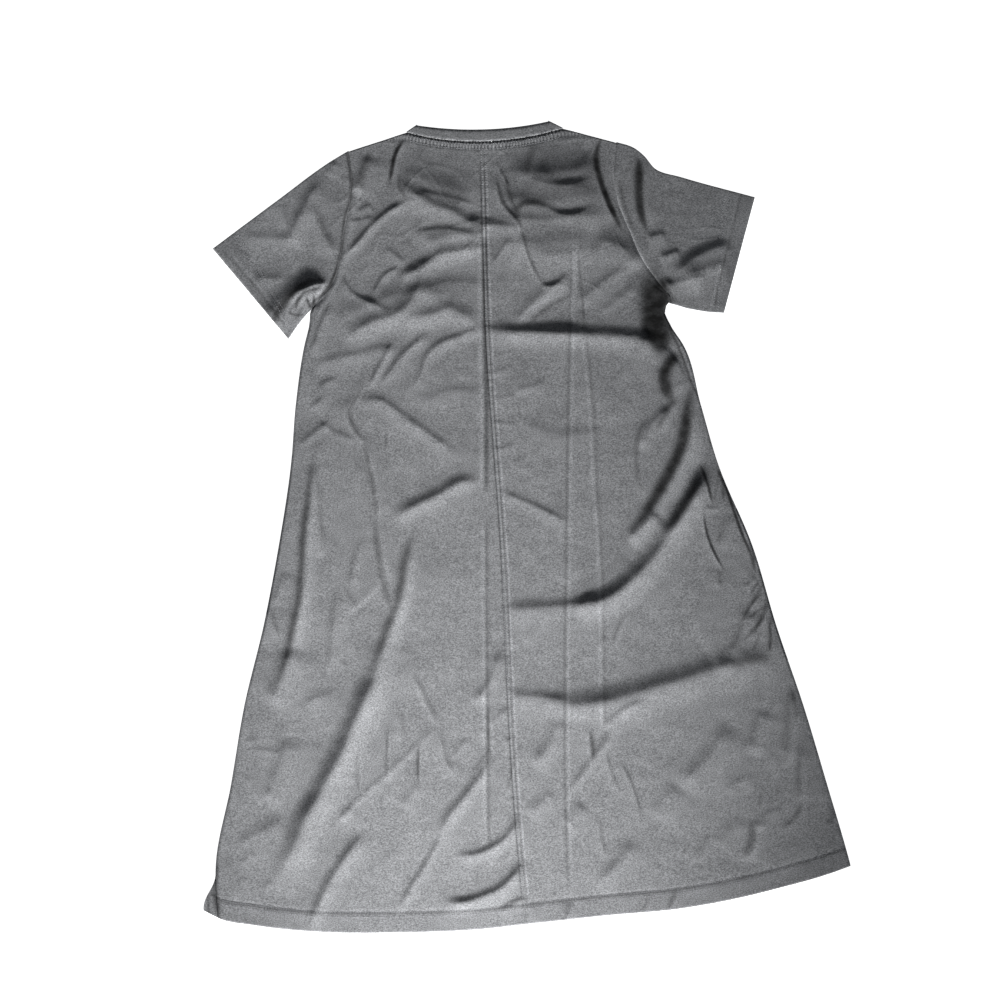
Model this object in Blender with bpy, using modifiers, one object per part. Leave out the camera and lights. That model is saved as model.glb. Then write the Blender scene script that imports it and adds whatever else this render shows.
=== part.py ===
"""A short-sleeved, A-line T-shirt dress in cotton jersey, laid flat on its front with its back up.

Metres, +Z up. +Y runs from the hem to the neck and +X to the right of someone who looks down
at the back. The floor is z = 0. Each cut piece is one object. The front lies on the floor, the
two halves of the back lie on it with the pocket bags between them, and the sleeves and the
neckband are flattened rings, with one layer below and one above.
"""

import math
from collections import namedtuple

import bmesh
import bpy
import numpy as np

COLLECTION = "tshirt_dress"

# The cloth. The armholes' gap is wider than the other seams', because their walls lean in folds.
WALL = 0.0012
SEAM_GAP = 0.0003
ARMHOLE_GAP = 0.00045
LAYER = WALL + SEAM_GAP
FLAT_RING = 2 * WALL + SEAM_GAP
JERSEY_GREY = (0.16, 0.16, 0.17, 1)
JERSEY_ROUGHNESS = 0.9

# The neck: how deep the front is scooped out, and the band that is sewn all round it
SCOOP_DEPTH = 0.100
BAND_WIDTH = 0.015

# How far the front's corner shows at the left vent, sideways and down, and how high the vent is
VENT_FLARE = (-0.018, 0.009)
VENT_HEIGHT = 0.055

# How far the cloth takes to come down from a fold to a side seam or the armpit, and off a pocket bag
SIDE_SETTLE = 0.035
ARMPIT_SETTLE = 0.050
BAG_SETTLE = 0.045
BAG_LIFT = 2 * LAYER + SEAM_GAP

# A fold that slants to its edge bulges further, so that it stays as round, but at most this much:
# a reach of 1 / LEAST_SQUARE times its radius
LEAST_SQUARE = 0.35

# How finely the pieces are divided. RUN_STEP is the part of an edge that its direction is read from.
SKIRT_ROWS = 34
FRONT_SKIRT_ROWS = 17
YOKE_ROWS = 12
SHOULDER_COLUMNS = 7
NECK_COLUMNS = 14
FRONT_SHOULDER_COLUMNS = 3
SCOOP_COLUMNS = 16
SLEEVE_RINGS = 9
TURN_STEPS = 4
RUN_STEP = 0.01
BAND_ROWS = 2
BAG_ROWS = 10
BAG_COLUMNS = 5
CREST_STEPS = 24

# The body at a height: its left edge, its centre-back seam and its right edge.
# The edges are the side seams up to the armpits, and the armholes above them.
Section = namedtuple("Section", "height left seam right")
SECTIONS = (
    Section(-0.498, -0.384, 0.002, 0.424),
    Section(-0.423, -0.387, -0.005, 0.406),
    Section(-0.323, -0.368, -0.013, 0.377),
    Section(-0.223, -0.351, -0.019, 0.347),
    Section(-0.123, -0.327, -0.024, 0.313),
    Section(-0.023, -0.308, -0.028, 0.283),
    Section(0.077, -0.293, -0.035, 0.241),
    Section(0.152, -0.287, -0.041, 0.219),
    Section(0.227, -0.276, -0.046, 0.197),
    Section(0.252, -0.270, -0.047, 0.181),
    Section(0.272, -0.267, -0.048, 0.174),
    Section(0.284, -0.257, -0.048, 0.181),
    Section(0.302, -0.242, -0.048, 0.168),
    Section(0.333, -0.232, -0.049, 0.146),
    Section(0.371, -0.226, -0.050, 0.129),
    Section(0.406, -0.219, -0.051, 0.115),
    Section(0.440, -0.217, -0.052, 0.111),
    Section(0.482, -0.224, -0.054, 0.114),
)

# The heights of each upright edge: at the hem, level with the armpit and at the top
Upright = namedtuple("Upright", "hem armpit top")
LEFT_UPRIGHT = Upright(-0.489, 0.273, 0.468)
SEAM_UPRIGHT = Upright(-0.497, 0.276, 0.481)
RIGHT_UPRIGHT = Upright(-0.424, 0.280, 0.479)

# The hem's edge, from the front's left corner to the right vent
HemPoint = namedtuple("HemPoint", "across height")
HEM = (
    HemPoint(-0.402, -0.480),
    HemPoint(-0.384, -0.489),
    HemPoint(-0.338, -0.498),
    HemPoint(-0.276, -0.505),
    HemPoint(-0.151, -0.507),
    HemPoint(-0.057, -0.503),
    HemPoint(0.006, -0.496),
    HemPoint(0.099, -0.486),
    HemPoint(0.193, -0.477),
    HemPoint(0.256, -0.466),
    HemPoint(0.318, -0.451),
    HemPoint(0.381, -0.433),
    HemPoint(0.406, -0.424),
)

# The neck points, where the shoulders end, the back neckline between them, and the folded ends of
# the band, where its free edge turns from the back to the front
LEFT_NECK = (-0.148, 0.492)
NECKLINE_MIDDLE = (-0.052, 0.481)
RIGHT_NECK = (0.046, 0.497)
LEFT_BAND_END = (-0.135, 0.501)
RIGHT_BAND_END = (0.028, 0.506)

# A sleeve's two long edges, over and under the arm, from the armhole (out = 0) to the cuff (1)
SleeveRow = namedtuple("SleeveRow", "out over under")
LEFT_SLEEVE = (
    SleeveRow(0.15, (-0.246, 0.453), (-0.273, 0.266)),
    SleeveRow(0.50, (-0.307, 0.408), (-0.284, 0.253)),
    SleeveRow(1.00, (-0.390, 0.346), (-0.297, 0.235)),
)
RIGHT_SLEEVE = (
    SleeveRow(0.12, (0.133, 0.473), (0.190, 0.277)),
    SleeveRow(0.25, (0.148, 0.462), (0.200, 0.274)),
    SleeveRow(0.38, (0.163, 0.445), (0.210, 0.272)),
    SleeveRow(0.55, (0.195, 0.435), (0.222, 0.270)),
    SleeveRow(1.00, (0.286, 0.410), (0.248, 0.268)),
)

# How wide a pocket bag is at a height, measured in from its side seam
BagRow = namedtuple("BagRow", "height width")
LEFT_BAG = (
    BagRow(-0.112, 0.095),
    BagRow(-0.073, 0.128),
    BagRow(-0.018, 0.120),
    BagRow(0.046, 0.100),
    BagRow(0.088, 0.075),
)
RIGHT_BAG = (
    BagRow(-0.169, 0.085),
    BagRow(-0.120, 0.094),
    BagRow(-0.054, 0.058),
    BagRow(-0.017, 0.051),
    BagRow(0.023, 0.040),
)

# The largest folds of the upper layer: where the crest starts, a point half way along it, where it
# ends, half of the fold's width, and its height above the cloth round it
Fold = namedtuple("Fold", "name start middle end half_width height")
FOLDS = (
    Fold("waist", (-0.052, 0.238), (0.062, 0.245), (0.176, 0.240), 0.032, 0.007),
    Fold("waist arch", (-0.245, 0.232), (-0.160, 0.262), (-0.055, 0.250), 0.034, 0.008),
    Fold("left of the seam, dragging", (-0.062, 0.256), (-0.111, 0.231), (-0.135, 0.180), 0.028, 0.005),
    Fold("right hip, inner", (0.208, 0.165), (0.182, 0.064), (0.108, -0.022), 0.032, 0.010),
    Fold("right hip, outer", (0.226, 0.068), (0.183, -0.010), (0.100, -0.090), 0.034, 0.012),
    Fold("right hip, running out", (0.112, -0.084), (0.052, -0.100), (-0.006, -0.130), 0.032, 0.006),
    Fold("right thigh", (0.300, -0.172), (0.205, -0.190), (0.090, -0.224), 0.032, 0.007),
    Fold("left diagonal, upper", (-0.134, -0.010), (-0.160, -0.105), (-0.205, -0.225), 0.036, 0.009),
    Fold("left diagonal, lower", (-0.198, -0.205), (-0.240, -0.300), (-0.300, -0.425), 0.038, 0.010),
    Fold("left side", (-0.262, 0.080), (-0.276, -0.060), (-0.318, -0.215), 0.030, 0.009),
    Fold("left hip", (-0.202, 0.110), (-0.186, 0.010), (-0.172, -0.090), 0.030, 0.005),
    Fold("across the left back", (-0.206, 0.158), (-0.140, 0.140), (-0.090, 0.102), 0.028, 0.004),
    Fold("outer left blade", (-0.232, 0.334), (-0.182, 0.367), (-0.146, 0.398), 0.030, 0.005),
    Fold("inner left blade", (-0.160, 0.434), (-0.118, 0.402), (-0.052, 0.384), 0.032, 0.006),
    Fold("below the left blade", (-0.180, 0.306), (-0.114, 0.334), (-0.055, 0.353), 0.030, 0.005),
    Fold("right blade", (-0.002, 0.370), (0.013, 0.322), (0.046, 0.298), 0.028, 0.006),
    Fold("below the right blade", (-0.010, 0.250), (0.021, 0.280), (0.056, 0.300), 0.028, 0.005),
    Fold("right armhole", (0.133, 0.462), (0.137, 0.387), (0.152, 0.332), 0.026, 0.008),
    Fold("right armpit", (0.156, 0.318), (0.152, 0.262), (0.158, 0.190), 0.030, 0.009),
    Fold("left underarm", (-0.318, 0.262), (-0.290, 0.290), (-0.240, 0.312), 0.028, 0.006),
    Fold("right sleeve", (0.252, 0.356), (0.217, 0.341), (0.180, 0.330), 0.028, 0.006),
    Fold("lower left", (-0.072, -0.335), (-0.114, -0.400), (-0.150, -0.470), 0.034, 0.004),
)
FOLD_TAPER = 0.25


def smooth_step(part):
    """0 below 0, 1 above 1, and a soft rise between them."""
    part = min(max(part, 0.0), 1.0)
    return part * part * (3 - 2 * part)


def between(start, end, part):
    return start + (end - start) * part


def straight(start, end):
    start, end = np.array(start), np.array(end)
    return lambda part: between(start, end, part)


def bend(start, middle, end, part):
    """A point on the parabola that passes the middle point half way."""
    start, middle, end = np.array(start), np.array(middle), np.array(end)
    control = 2 * middle - (start + end) / 2
    return start * (1 - part) ** 2 + control * 2 * part * (1 - part) + end * part**2


def smooth_curve(knots, values):
    """A function that passes smoothly through the values at the knots."""
    knots = np.array(knots)
    values = np.array(values)
    slopes = np.gradient(values, knots, axis=0)

    def at(knot):
        span = int(np.clip(np.searchsorted(knots, knot) - 1, 0, len(knots) - 2))
        width = knots[span + 1] - knots[span]
        part = (knot - knots[span]) / width
        value = between(values[span], values[span + 1], part * part * (3 - 2 * part))
        value = value + slopes[span] * width * part * (1 - part) ** 2
        return value - slopes[span + 1] * width * part**2 * (1 - part)

    return at


def patch(left, right, bottom, top):
    """The sheet that four edges span: a place for each part along the bottom and up the sides."""

    def at(along, up):
        upright = between(left(up), right(up), along)
        level = between(bottom(along), top(along), up)
        corners = between(between(left(0), right(0), along), between(left(1), right(1), along), up)
        return upright + level - corners

    return at


def joined(*pieces):
    """One edge made of several, each with its own number of columns."""
    ends = np.cumsum([0] + [columns for columns, _ in pieces])
    shares = ends / ends[-1]

    def at(along):
        which = int(np.clip(np.searchsorted(shares, along) - 1, 0, len(pieces) - 1))
        part = (along - shares[which]) / (shares[which + 1] - shares[which])
        return pieces[which][1](part)

    return at


HEIGHTS = [section.height for section in SECTIONS]
left_edge = smooth_curve(HEIGHTS, [section.left for section in SECTIONS])
seam_line = smooth_curve(HEIGHTS, [section.seam for section in SECTIONS])
right_edge = smooth_curve(HEIGHTS, [section.right for section in SECTIONS])
hem_line = smooth_curve([point.across for point in HEM], [point.height for point in HEM])

# What differs between the two sides. outward is the direction in x away from the body.
Side = namedtuple("Side", "name outward edge upright neck sleeve bag")
LEFT = Side("left", -1, left_edge, LEFT_UPRIGHT, LEFT_NECK, LEFT_SLEEVE, LEFT_BAG)
RIGHT = Side("right", 1, right_edge, RIGHT_UPRIGHT, RIGHT_NECK, RIGHT_SLEEVE, RIGHT_BAG)


def shoulder_tip(side):
    return np.array((side.edge(side.upright.top), side.upright.top))


def upright_edge(edge, upright, skirt_rows):
    """An upright edge as a function of the part up it, with the armpit's level on a row."""
    armpit_part = skirt_rows / (skirt_rows + YOKE_ROWS)

    def at(up):
        if up <= armpit_part:
            height = between(upright.hem, upright.armpit, up / armpit_part)
        else:
            height = between(upright.armpit, upright.top, (up - armpit_part) / (1 - armpit_part))
        return np.array((edge(height), height))

    return at


def hem_edge(start, end):
    def at(along):
        across = between(start, end, along)
        return np.array((across, hem_line(across)))

    return at


def back_neckline(part):
    """The seam of the back's neck, from the left neck point to the right one."""
    return bend(LEFT_NECK, NECKLINE_MIDDLE, RIGHT_NECK, part)


def scoop(part, inset=0.0):
    """The seam of the front's neck: half an ellipse from the left neck point to the right one."""
    angle = math.pi * (1 - part)
    half = (np.array(RIGHT_NECK) - np.array(LEFT_NECK)) / 2
    half_width = np.hypot(*half)
    along = half / half_width
    down = np.array((along[1], -along[0]))
    point = (np.array(LEFT_NECK) + np.array(RIGHT_NECK)) / 2
    point = point + along * (half_width - inset) * math.cos(angle)
    return point + down * (SCOOP_DEPTH - inset) * math.sin(angle)


def bag_width(side):
    return smooth_curve([row.height for row in side.bag], [row.width for row in side.bag])


def fold_crest(fold):
    steps = np.linspace(0, 1, CREST_STEPS)
    return np.array([bend(fold.start, fold.middle, fold.end, step) for step in steps])


CRESTS = [fold_crest(fold) for fold in FOLDS]
BAG_WIDTHS = {side.name: bag_width(side) for side in (LEFT, RIGHT)}


def fold_lift(fold, crest, across, height):
    """How far one fold raises a place, from its distance to the crest. The fold tapers to its ends."""
    away = np.hypot(crest[:, 0] - across, crest[:, 1] - height)
    nearest = int(away.argmin())
    if away[nearest] >= fold.half_width:
        return 0.0
    along = nearest / (CREST_STEPS - 1)
    taper = smooth_step(along / FOLD_TAPER) * smooth_step((1 - along) / FOLD_TAPER)
    return fold.height * taper * (0.5 + 0.5 * math.cos(math.pi * away[nearest] / fold.half_width))


def bag_lift(side, inwards, height):
    """How far a pocket bag raises the back above it, a distance inwards from its side seam."""
    bottom, top = side.bag[0].height, side.bag[-1].height
    beyond_end = max(height - top, bottom - height, 0.0)
    beyond_width = max(inwards - BAG_WIDTHS[side.name](min(max(height, bottom), top)), 0.0)
    away = math.hypot(beyond_end, beyond_width) - BAG_SETTLE / 2
    return BAG_LIFT * (1 - smooth_step(away / BAG_SETTLE))


def lift(across, height):
    """How far the upper layer stands above where it would lie if it were pressed flat."""
    folds = sum(fold_lift(fold, crest, across, height) for fold, crest in zip(FOLDS, CRESTS))
    from_left = across - left_edge(height)
    from_right = right_edge(height) - across
    off_sides = smooth_step(min(abs(from_left), abs(from_right)) / SIDE_SETTLE)
    above_armpit = smooth_step((height - LEFT_UPRIGHT.armpit) / ARMPIT_SETTLE)
    bags = bag_lift(LEFT, from_left, height) + bag_lift(RIGHT, from_right, height)
    return folds * max(off_sides, above_armpit) + bags


def jersey(name):
    material = bpy.data.materials.new(name + "_jersey")
    material.use_nodes = True
    surface = material.node_tree.nodes["Principled BSDF"]
    surface.inputs["Base Color"].default_value = JERSEY_GREY
    surface.inputs["Roughness"].default_value = JERSEY_ROUGHNESS
    surface.inputs["Metallic"].default_value = 0
    return material


def add_cloth(name, columns, rows, place, closed=False):
    """A wall of cloth. place(along, up) gives its outer skin, and the wall grows inwards from it."""
    shape = bmesh.new()
    bmesh.ops.create_grid(shape, x_segments=columns, y_segments=rows, size=0.5)
    for vert in shape.verts:
        vert.co = place(vert.co.x + 0.5, vert.co.y + 0.5)
    if closed:
        bmesh.ops.remove_doubles(shape, verts=shape.verts[:], dist=1e-6)
    shape.normal_update()
    highest = max(shape.faces, key=lambda face: face.calc_center_median().z * abs(face.normal.z))
    if highest.normal.z < 0:
        bmesh.ops.reverse_faces(shape, faces=shape.faces[:])
    mesh = bpy.data.meshes.new(name)
    shape.to_mesh(mesh)
    shape.free()
    mesh.materials.append(jersey(name))
    cloth = bpy.data.objects.new(name, mesh)
    wall = cloth.modifiers.new("wall", "SOLIDIFY")
    wall.thickness = WALL
    wall.offset = -1
    bpy.data.collections[COLLECTION].objects.link(cloth)


def add_front():
    """The front lies flat on the floor. Its neck is scooped out, and it flares at the left vent."""
    left_side = upright_edge(left_edge, LEFT_UPRIGHT, FRONT_SKIRT_ROWS)
    right_side = upright_edge(right_edge, RIGHT_UPRIGHT, FRONT_SKIRT_ROWS)

    def flared_side(up):
        point = left_side(up)
        below_vent = 1 - smooth_step((point[1] - LEFT_UPRIGHT.hem) / VENT_HEIGHT)
        return point + np.array(VENT_FLARE) * below_vent

    top = joined(
        (FRONT_SHOULDER_COLUMNS, straight(shoulder_tip(LEFT), LEFT_NECK)),
        (SCOOP_COLUMNS, scoop),
        (FRONT_SHOULDER_COLUMNS, straight(RIGHT_NECK, shoulder_tip(RIGHT))),
    )
    hem = hem_edge(flared_side(0)[0], right_side(0)[0])
    panel = patch(flared_side, right_side, hem, top)
    columns = 2 * FRONT_SHOULDER_COLUMNS + SCOOP_COLUMNS
    add_cloth("front", columns, FRONT_SKIRT_ROWS + YOKE_ROWS, lambda along, up: (*panel(along, up), WALL))


def add_back(side):
    """One half of the back, from its side seam and armhole to the centre-back seam."""

    def seam(height):
        return seam_line(height) + side.outward * SEAM_GAP / 2

    outer = upright_edge(side.edge, side.upright, SKIRT_ROWS)
    inner = upright_edge(seam, SEAM_UPRIGHT, SKIRT_ROWS)
    to_middle = inner(1) - back_neckline(0.5)

    def neckline(part):
        """Half of the neckline, from this side's neck point, which ends on the seam."""
        along = between(0.5 + 0.5 * side.outward, 0.5, part)
        return back_neckline(along) + to_middle * part

    top = joined((SHOULDER_COLUMNS, straight(shoulder_tip(side), side.neck)), (NECK_COLUMNS, neckline))
    panel = patch(outer, inner, hem_edge(outer(0)[0], inner(0)[0]), top)

    def place(along, up):
        across, height = panel(along, up)
        return across, height, FLAT_RING + lift(across, height)

    add_cloth("back_" + side.name, SHOULDER_COLUMNS + NECK_COLUMNS, SKIRT_ROWS + YOKE_ROWS, place)


def fold_reach(edge, along, outwards):
    """How far a fold at an edge bulges: along outwards, and half a flat ring square to the edge."""
    run = edge(min(along + RUN_STEP, 1)) - edge(max(along - RUN_STEP, 0))
    square = np.array((run[1], -run[0])) / np.hypot(*run)
    outwards = outwards / np.hypot(*outwards)
    return outwards * FLAT_RING / 2 / max(abs(outwards @ square), LEAST_SQUARE)


def turned(part, corner, reach, top, bottom):
    """A point a part of the way round a half-round fold, from the top layer down to the bottom one."""
    angle = math.pi * part
    across, height = corner + reach * math.sin(angle)
    return across, height, (top + bottom) / 2 + (top - bottom) / 2 * math.cos(angle)


def add_sleeve(side):
    """A flattened tube from the armhole to the cuff. It runs over the upper layer and back below."""

    def armhole(part):
        """The body's armhole edge from the armpit to the shoulder tip, moved out square to itself."""
        height = between(side.upright.armpit, side.upright.top, part)
        lean = (side.edge(height + WALL) - side.edge(height - WALL)) / (2 * WALL)
        square = np.array((side.outward, -side.outward * lean)) / math.hypot(1, lean)
        return np.array((side.edge(height), height)) + square * ARMHOLE_GAP

    outs = [0.0] + [row.out for row in side.sleeve]
    over = smooth_curve(outs, [armhole(1)] + [row.over for row in side.sleeve])
    under = smooth_curve(outs, [armhole(0)] + [row.under for row in side.sleeve])
    layer = patch(armhole, straight(under(1), over(1)), under, over)
    around = 2 * (YOKE_ROWS + TURN_STEPS)

    def folded_edge(part, out, turning):
        corner = layer(out, part)
        reach = fold_reach(lambda along: layer(along, part), out, corner - layer(out, 0.5))
        return turned(turning, corner, reach, FLAT_RING + lift(*corner), 0.0)

    def place(along, out):
        step = round(along * around) % around
        if step <= YOKE_ROWS:
            across, height = layer(out, step / YOKE_ROWS)
            return across, height, FLAT_RING + lift(across, height)
        step -= YOKE_ROWS
        if step < TURN_STEPS:
            return folded_edge(1, out, step / TURN_STEPS)
        step -= TURN_STEPS
        if step <= YOKE_ROWS:
            across, height = layer(out, 1 - step / YOKE_ROWS)
            return across, height, 0.0
        return folded_edge(0, out, 1 - (step - YOKE_ROWS) / TURN_STEPS)

    add_cloth("sleeve_" + side.name, around, SLEEVE_RINGS, place, closed=True)


def add_neckband():
    """The band is a flattened ring too: one strip along the back's neckline and one in the scoop."""
    back_steps = 2 * NECK_COLUMNS
    around = back_steps + SCOOP_COLUMNS + 2 * TURN_STEPS
    free_middle = (NECKLINE_MIDDLE[0], NECKLINE_MIDDLE[1] + BAND_WIDTH)

    def back_strip(part, out):
        seam = back_neckline(part) + np.array((0, SEAM_GAP))
        return between(seam, bend(LEFT_BAND_END, free_middle, RIGHT_BAND_END, part), out)

    def front_strip(part, out):
        free = scoop(part, SEAM_GAP + BAND_WIDTH)
        if part in (0, 1):
            free = back_strip(part, 1)
        return between(scoop(part, SEAM_GAP), free, out)

    def folded_end(part, out, turning):
        corner = between(back_strip(part, out), front_strip(part, out), turning)
        fold = back_strip(part, 1) - back_strip(part, 0)
        outwards = np.array((fold[1], -fold[0])) * (2 * part - 1)
        reach = fold_reach(lambda along: back_strip(part, along), out, outwards)
        return turned(turning, corner, reach, FLAT_RING + lift(*corner), 0.0)

    def place(along, out):
        step = round(along * around) % around
        if step <= back_steps:
            across, height = back_strip(step / back_steps, out)
            return across, height, FLAT_RING + lift(across, height)
        step -= back_steps
        if step < TURN_STEPS:
            return folded_end(1, out, step / TURN_STEPS)
        step -= TURN_STEPS
        if step <= SCOOP_COLUMNS:
            across, height = front_strip(1 - step / SCOOP_COLUMNS, out)
            return across, height, 0.0
        return folded_end(0, out, 1 - (step - SCOOP_COLUMNS) / TURN_STEPS)

    add_cloth("neckband", around, BAND_ROWS, place, closed=True)


def add_pocket_bag(side):
    """A bag folded at its inner edge, which opens at the side seam. It lies on the front."""
    bottom, top = side.bag[0].height, side.bag[-1].height
    inwards = np.array((-side.outward, 0))
    across_steps = 2 * BAG_COLUMNS + TURN_STEPS

    def layer(part, up):
        height = between(bottom, top, up)
        reach = SEAM_GAP + (BAG_WIDTHS[side.name](height) - FLAT_RING / 2) * part
        return np.array((side.edge(height), height)) + inwards * reach

    def place(along, up):
        step = round(along * across_steps)
        if step <= BAG_COLUMNS:
            return (*layer(step / BAG_COLUMNS, up), LAYER + FLAT_RING)
        step -= BAG_COLUMNS
        if step < TURN_STEPS:
            reach = fold_reach(lambda along: layer(1, along), up, inwards)
            return turned(step / TURN_STEPS, layer(1, up), reach, LAYER + FLAT_RING, LAYER)
        return (*layer(1 - (step - TURN_STEPS) / BAG_COLUMNS, up), LAYER)

    add_cloth("pocket_bag_" + side.name, across_steps, BAG_ROWS, place)


def main():
    for old in list(bpy.data.objects):
        bpy.data.objects.remove(old)
    collection = bpy.data.collections.new(COLLECTION)
    bpy.context.scene.collection.children.link(collection)
    add_front()
    add_neckband()
    for side in (LEFT, RIGHT):
        add_back(side)
        add_sleeve(side)
        add_pocket_bag(side)


main()
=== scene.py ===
# %% [markdown]
# # A T-shirt dress laid flat, back up
# The imported model gives every cut piece as a fixed solid. This script puts real-looking cloth in
# the same places. We load the frame first.

# %% Load the frame
import math
from collections import namedtuple

import bmesh
import bpy
import numpy as np
from mathutils import Matrix, Vector, noise


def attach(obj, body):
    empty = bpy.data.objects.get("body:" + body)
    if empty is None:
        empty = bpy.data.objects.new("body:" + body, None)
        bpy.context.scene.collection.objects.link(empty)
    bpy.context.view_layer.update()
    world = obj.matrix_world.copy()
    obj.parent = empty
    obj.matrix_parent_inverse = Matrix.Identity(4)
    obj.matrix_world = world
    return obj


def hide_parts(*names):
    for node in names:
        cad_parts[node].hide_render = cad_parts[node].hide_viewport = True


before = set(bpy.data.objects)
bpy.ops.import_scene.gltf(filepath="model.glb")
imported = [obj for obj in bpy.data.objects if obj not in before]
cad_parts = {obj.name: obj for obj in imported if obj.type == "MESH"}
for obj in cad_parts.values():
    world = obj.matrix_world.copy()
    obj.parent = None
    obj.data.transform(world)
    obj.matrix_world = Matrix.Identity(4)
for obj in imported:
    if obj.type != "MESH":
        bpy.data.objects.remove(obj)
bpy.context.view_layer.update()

# %% [markdown]
# ## Camera
# The dress was photographed from straight above. A camera is often aimed by a constraint or a
# rotation, but Blender's cameras look straight down when they aren't turned, so this one needs
# neither. A 72 mm lens on a 36 mm sensor sees half as wide as it is far away. From 2.5 m up that
# is 1.25 m, the whole photograph.

# %% Camera
VIEW_CENTRE = (-0.0319, 0.0331)
VIEW_HEIGHT = 2.5
LENS, SENSOR = 72, 36
FAR_END = 20

camera = bpy.data.objects.new("camera", bpy.data.cameras.new("camera"))
camera.location = (*VIEW_CENTRE, VIEW_HEIGHT)
camera.data.lens, camera.data.sensor_width = LENS, SENSOR
camera.data.clip_end = FAR_END
bpy.context.scene.collection.objects.link(camera)
bpy.context.scene.camera = camera
print("the camera sees", VIEW_HEIGHT * SENSOR / LENS, "m across")

# %% [markdown]
# ## Light
# Folds in flat cloth show only in light that rakes over it. Here it comes from beyond the hem,
# close to the floor, so each fold is bright towards the hem and dark towards the neck. A sun would
# light the whole dress alike. An area lamp fades with distance and, with a narrow spread, towards
# its beam's edge: it points to the upper left, so the skirt's middle is the brightest and the
# right edge is darker. A weak, slightly blue sky fills the shadows.

# %% Lamp and sky
LAMP_PLACE = Vector((0.05, -1.62, 0.56))
LAMP_AIM = Vector((-0.23, 0.75, 0))
LAMP_POWER = 9.0
LAMP_SPREAD = math.radians(53)
LAMP_SIZE = (0.40, 0.20)
SKY = (0.88, 0.93, 1.0)
SKY_STRENGTH = 0.09

lamp = bpy.data.objects.new("lamp", bpy.data.lights.new("lamp", "AREA"))
lamp.data.shape = "RECTANGLE"
lamp.data.size, lamp.data.size_y = LAMP_SIZE
lamp.data.energy = LAMP_POWER
lamp.data.spread = LAMP_SPREAD
lamp.location = LAMP_PLACE
lamp.rotation_euler = (LAMP_AIM - LAMP_PLACE).to_track_quat("-Z", "Y").to_euler()
bpy.context.scene.collection.objects.link(lamp)

world = bpy.data.worlds.new("sky")
world.use_nodes = True
background = world.node_tree.nodes["Background"]
background.inputs["Color"].default_value = (*SKY, 1)
background.inputs["Strength"].default_value = SKY_STRENGTH
bpy.context.scene.world = world
bpy.context.scene.view_settings.view_transform = "Standard"
print("light on the middle of the dress, in degrees above the floor:",
      round(math.degrees(math.atan2(LAMP_PLACE.z, LAMP_PLACE.xy.length))))

# %% [markdown]
# ## Three helpers for materials
# Colours are easiest to read off as sRGB hex codes, but Blender calculates with linear light, so
# one function converts them. A material is a graph of nodes, which could be wired line by line.
# One function that adds a node with its settings and its links keeps that short.

# %% Helpers for materials
def linear(code):
    """The linear colour of an sRGB hex code such as "#7C7D7F"."""
    parts = [int(code[at:at + 2], 16) / 255 for at in (1, 3, 5)]
    return tuple(part / 12.92 if part <= 0.04045 else ((part + 0.055) / 1.055) ** 2.4 for part in parts)


def add_node(tree, kind, settings=None, links=None):
    """Adds a node, sets its sockets or properties by name, and links sockets to other outputs."""
    node = tree.nodes.new(kind)
    for name, value in (settings or {}).items():
        if name in node.inputs:
            node.inputs[name].default_value = value
        else:
            setattr(node, name, value)
    for name, output in (links or {}).items():
        tree.links.new(output, node.inputs[name])
    return node


def new_material(name):
    material = bpy.data.materials.new(name)
    material.use_nodes = True
    tree = material.node_tree
    return material, tree, tree.nodes["Principled BSDF"]


mid_grey = "#7B7C7E"
print(mid_grey, "in linear light:", [round(part, 3) for part in linear(mid_grey)])

# %% [markdown]
# ## Floor
# The photo is cut out on plain white. A big sheet of matt white paper stands for that.

# %% Floor
FLOOR_HALF = 6
FLOOR_DROP = 0.0002  # just below the cloth, so that the two never flicker through each other

white, tree, surface = new_material("white paper")
surface.inputs["Base Color"].default_value = (*linear("#F4F4F4"), 1)
surface.inputs["Roughness"].default_value = 0.9
surface.inputs["Emission Color"].default_value = (1, 1, 1, 1)
surface.inputs["Emission Strength"].default_value = 1.0

shape = bmesh.new()
bmesh.ops.create_grid(shape, x_segments=1, y_segments=1, size=FLOOR_HALF,
                      matrix=Matrix.Translation((0, 0, -FLOOR_DROP)))
mesh = bpy.data.meshes.new("floor")
shape.to_mesh(mesh)
shape.free()
mesh.materials.append(white)
floor = bpy.data.objects.new("floor", mesh)
bpy.context.scene.collection.objects.link(floor)
print("the floor is", 2 * FLOOR_HALF, "m square")

# %% [markdown]
# ## Cotton jersey
# Jersey is a fine cotton knit. In a melange grey some fibres are lighter than others, so the cloth
# has short streaks across it and broad, faint patches. Loose fibre ends scatter the light: the
# surface is rough, with a trace of sheen. A photographed texture could show this, but noise that is
# stretched needs no file and repeats nowhere. The real courses are 0.7 mm apart, which is less than
# a pixel here, so the streaks are drawn 1.8 mm apart across and 1.0 mm apart along the dress. The
# same noise raises the surface by a tenth of a millimetre. An attribute adds painted shade and
# painted light to the colour along folds and seams, where the lamp alone shades too little. It is
# worked out further on.

# %% Cotton jersey
STREAKS_PER_METRE = (560, 980, 560)
MOTTLE_PER_METRE = (60, 95, 60)
DARK_FIBRE, LIGHT_FIBRE = "#5B5C5E", "#9A9B9D"
FIBRE_RELIEF = 0.00012

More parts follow.
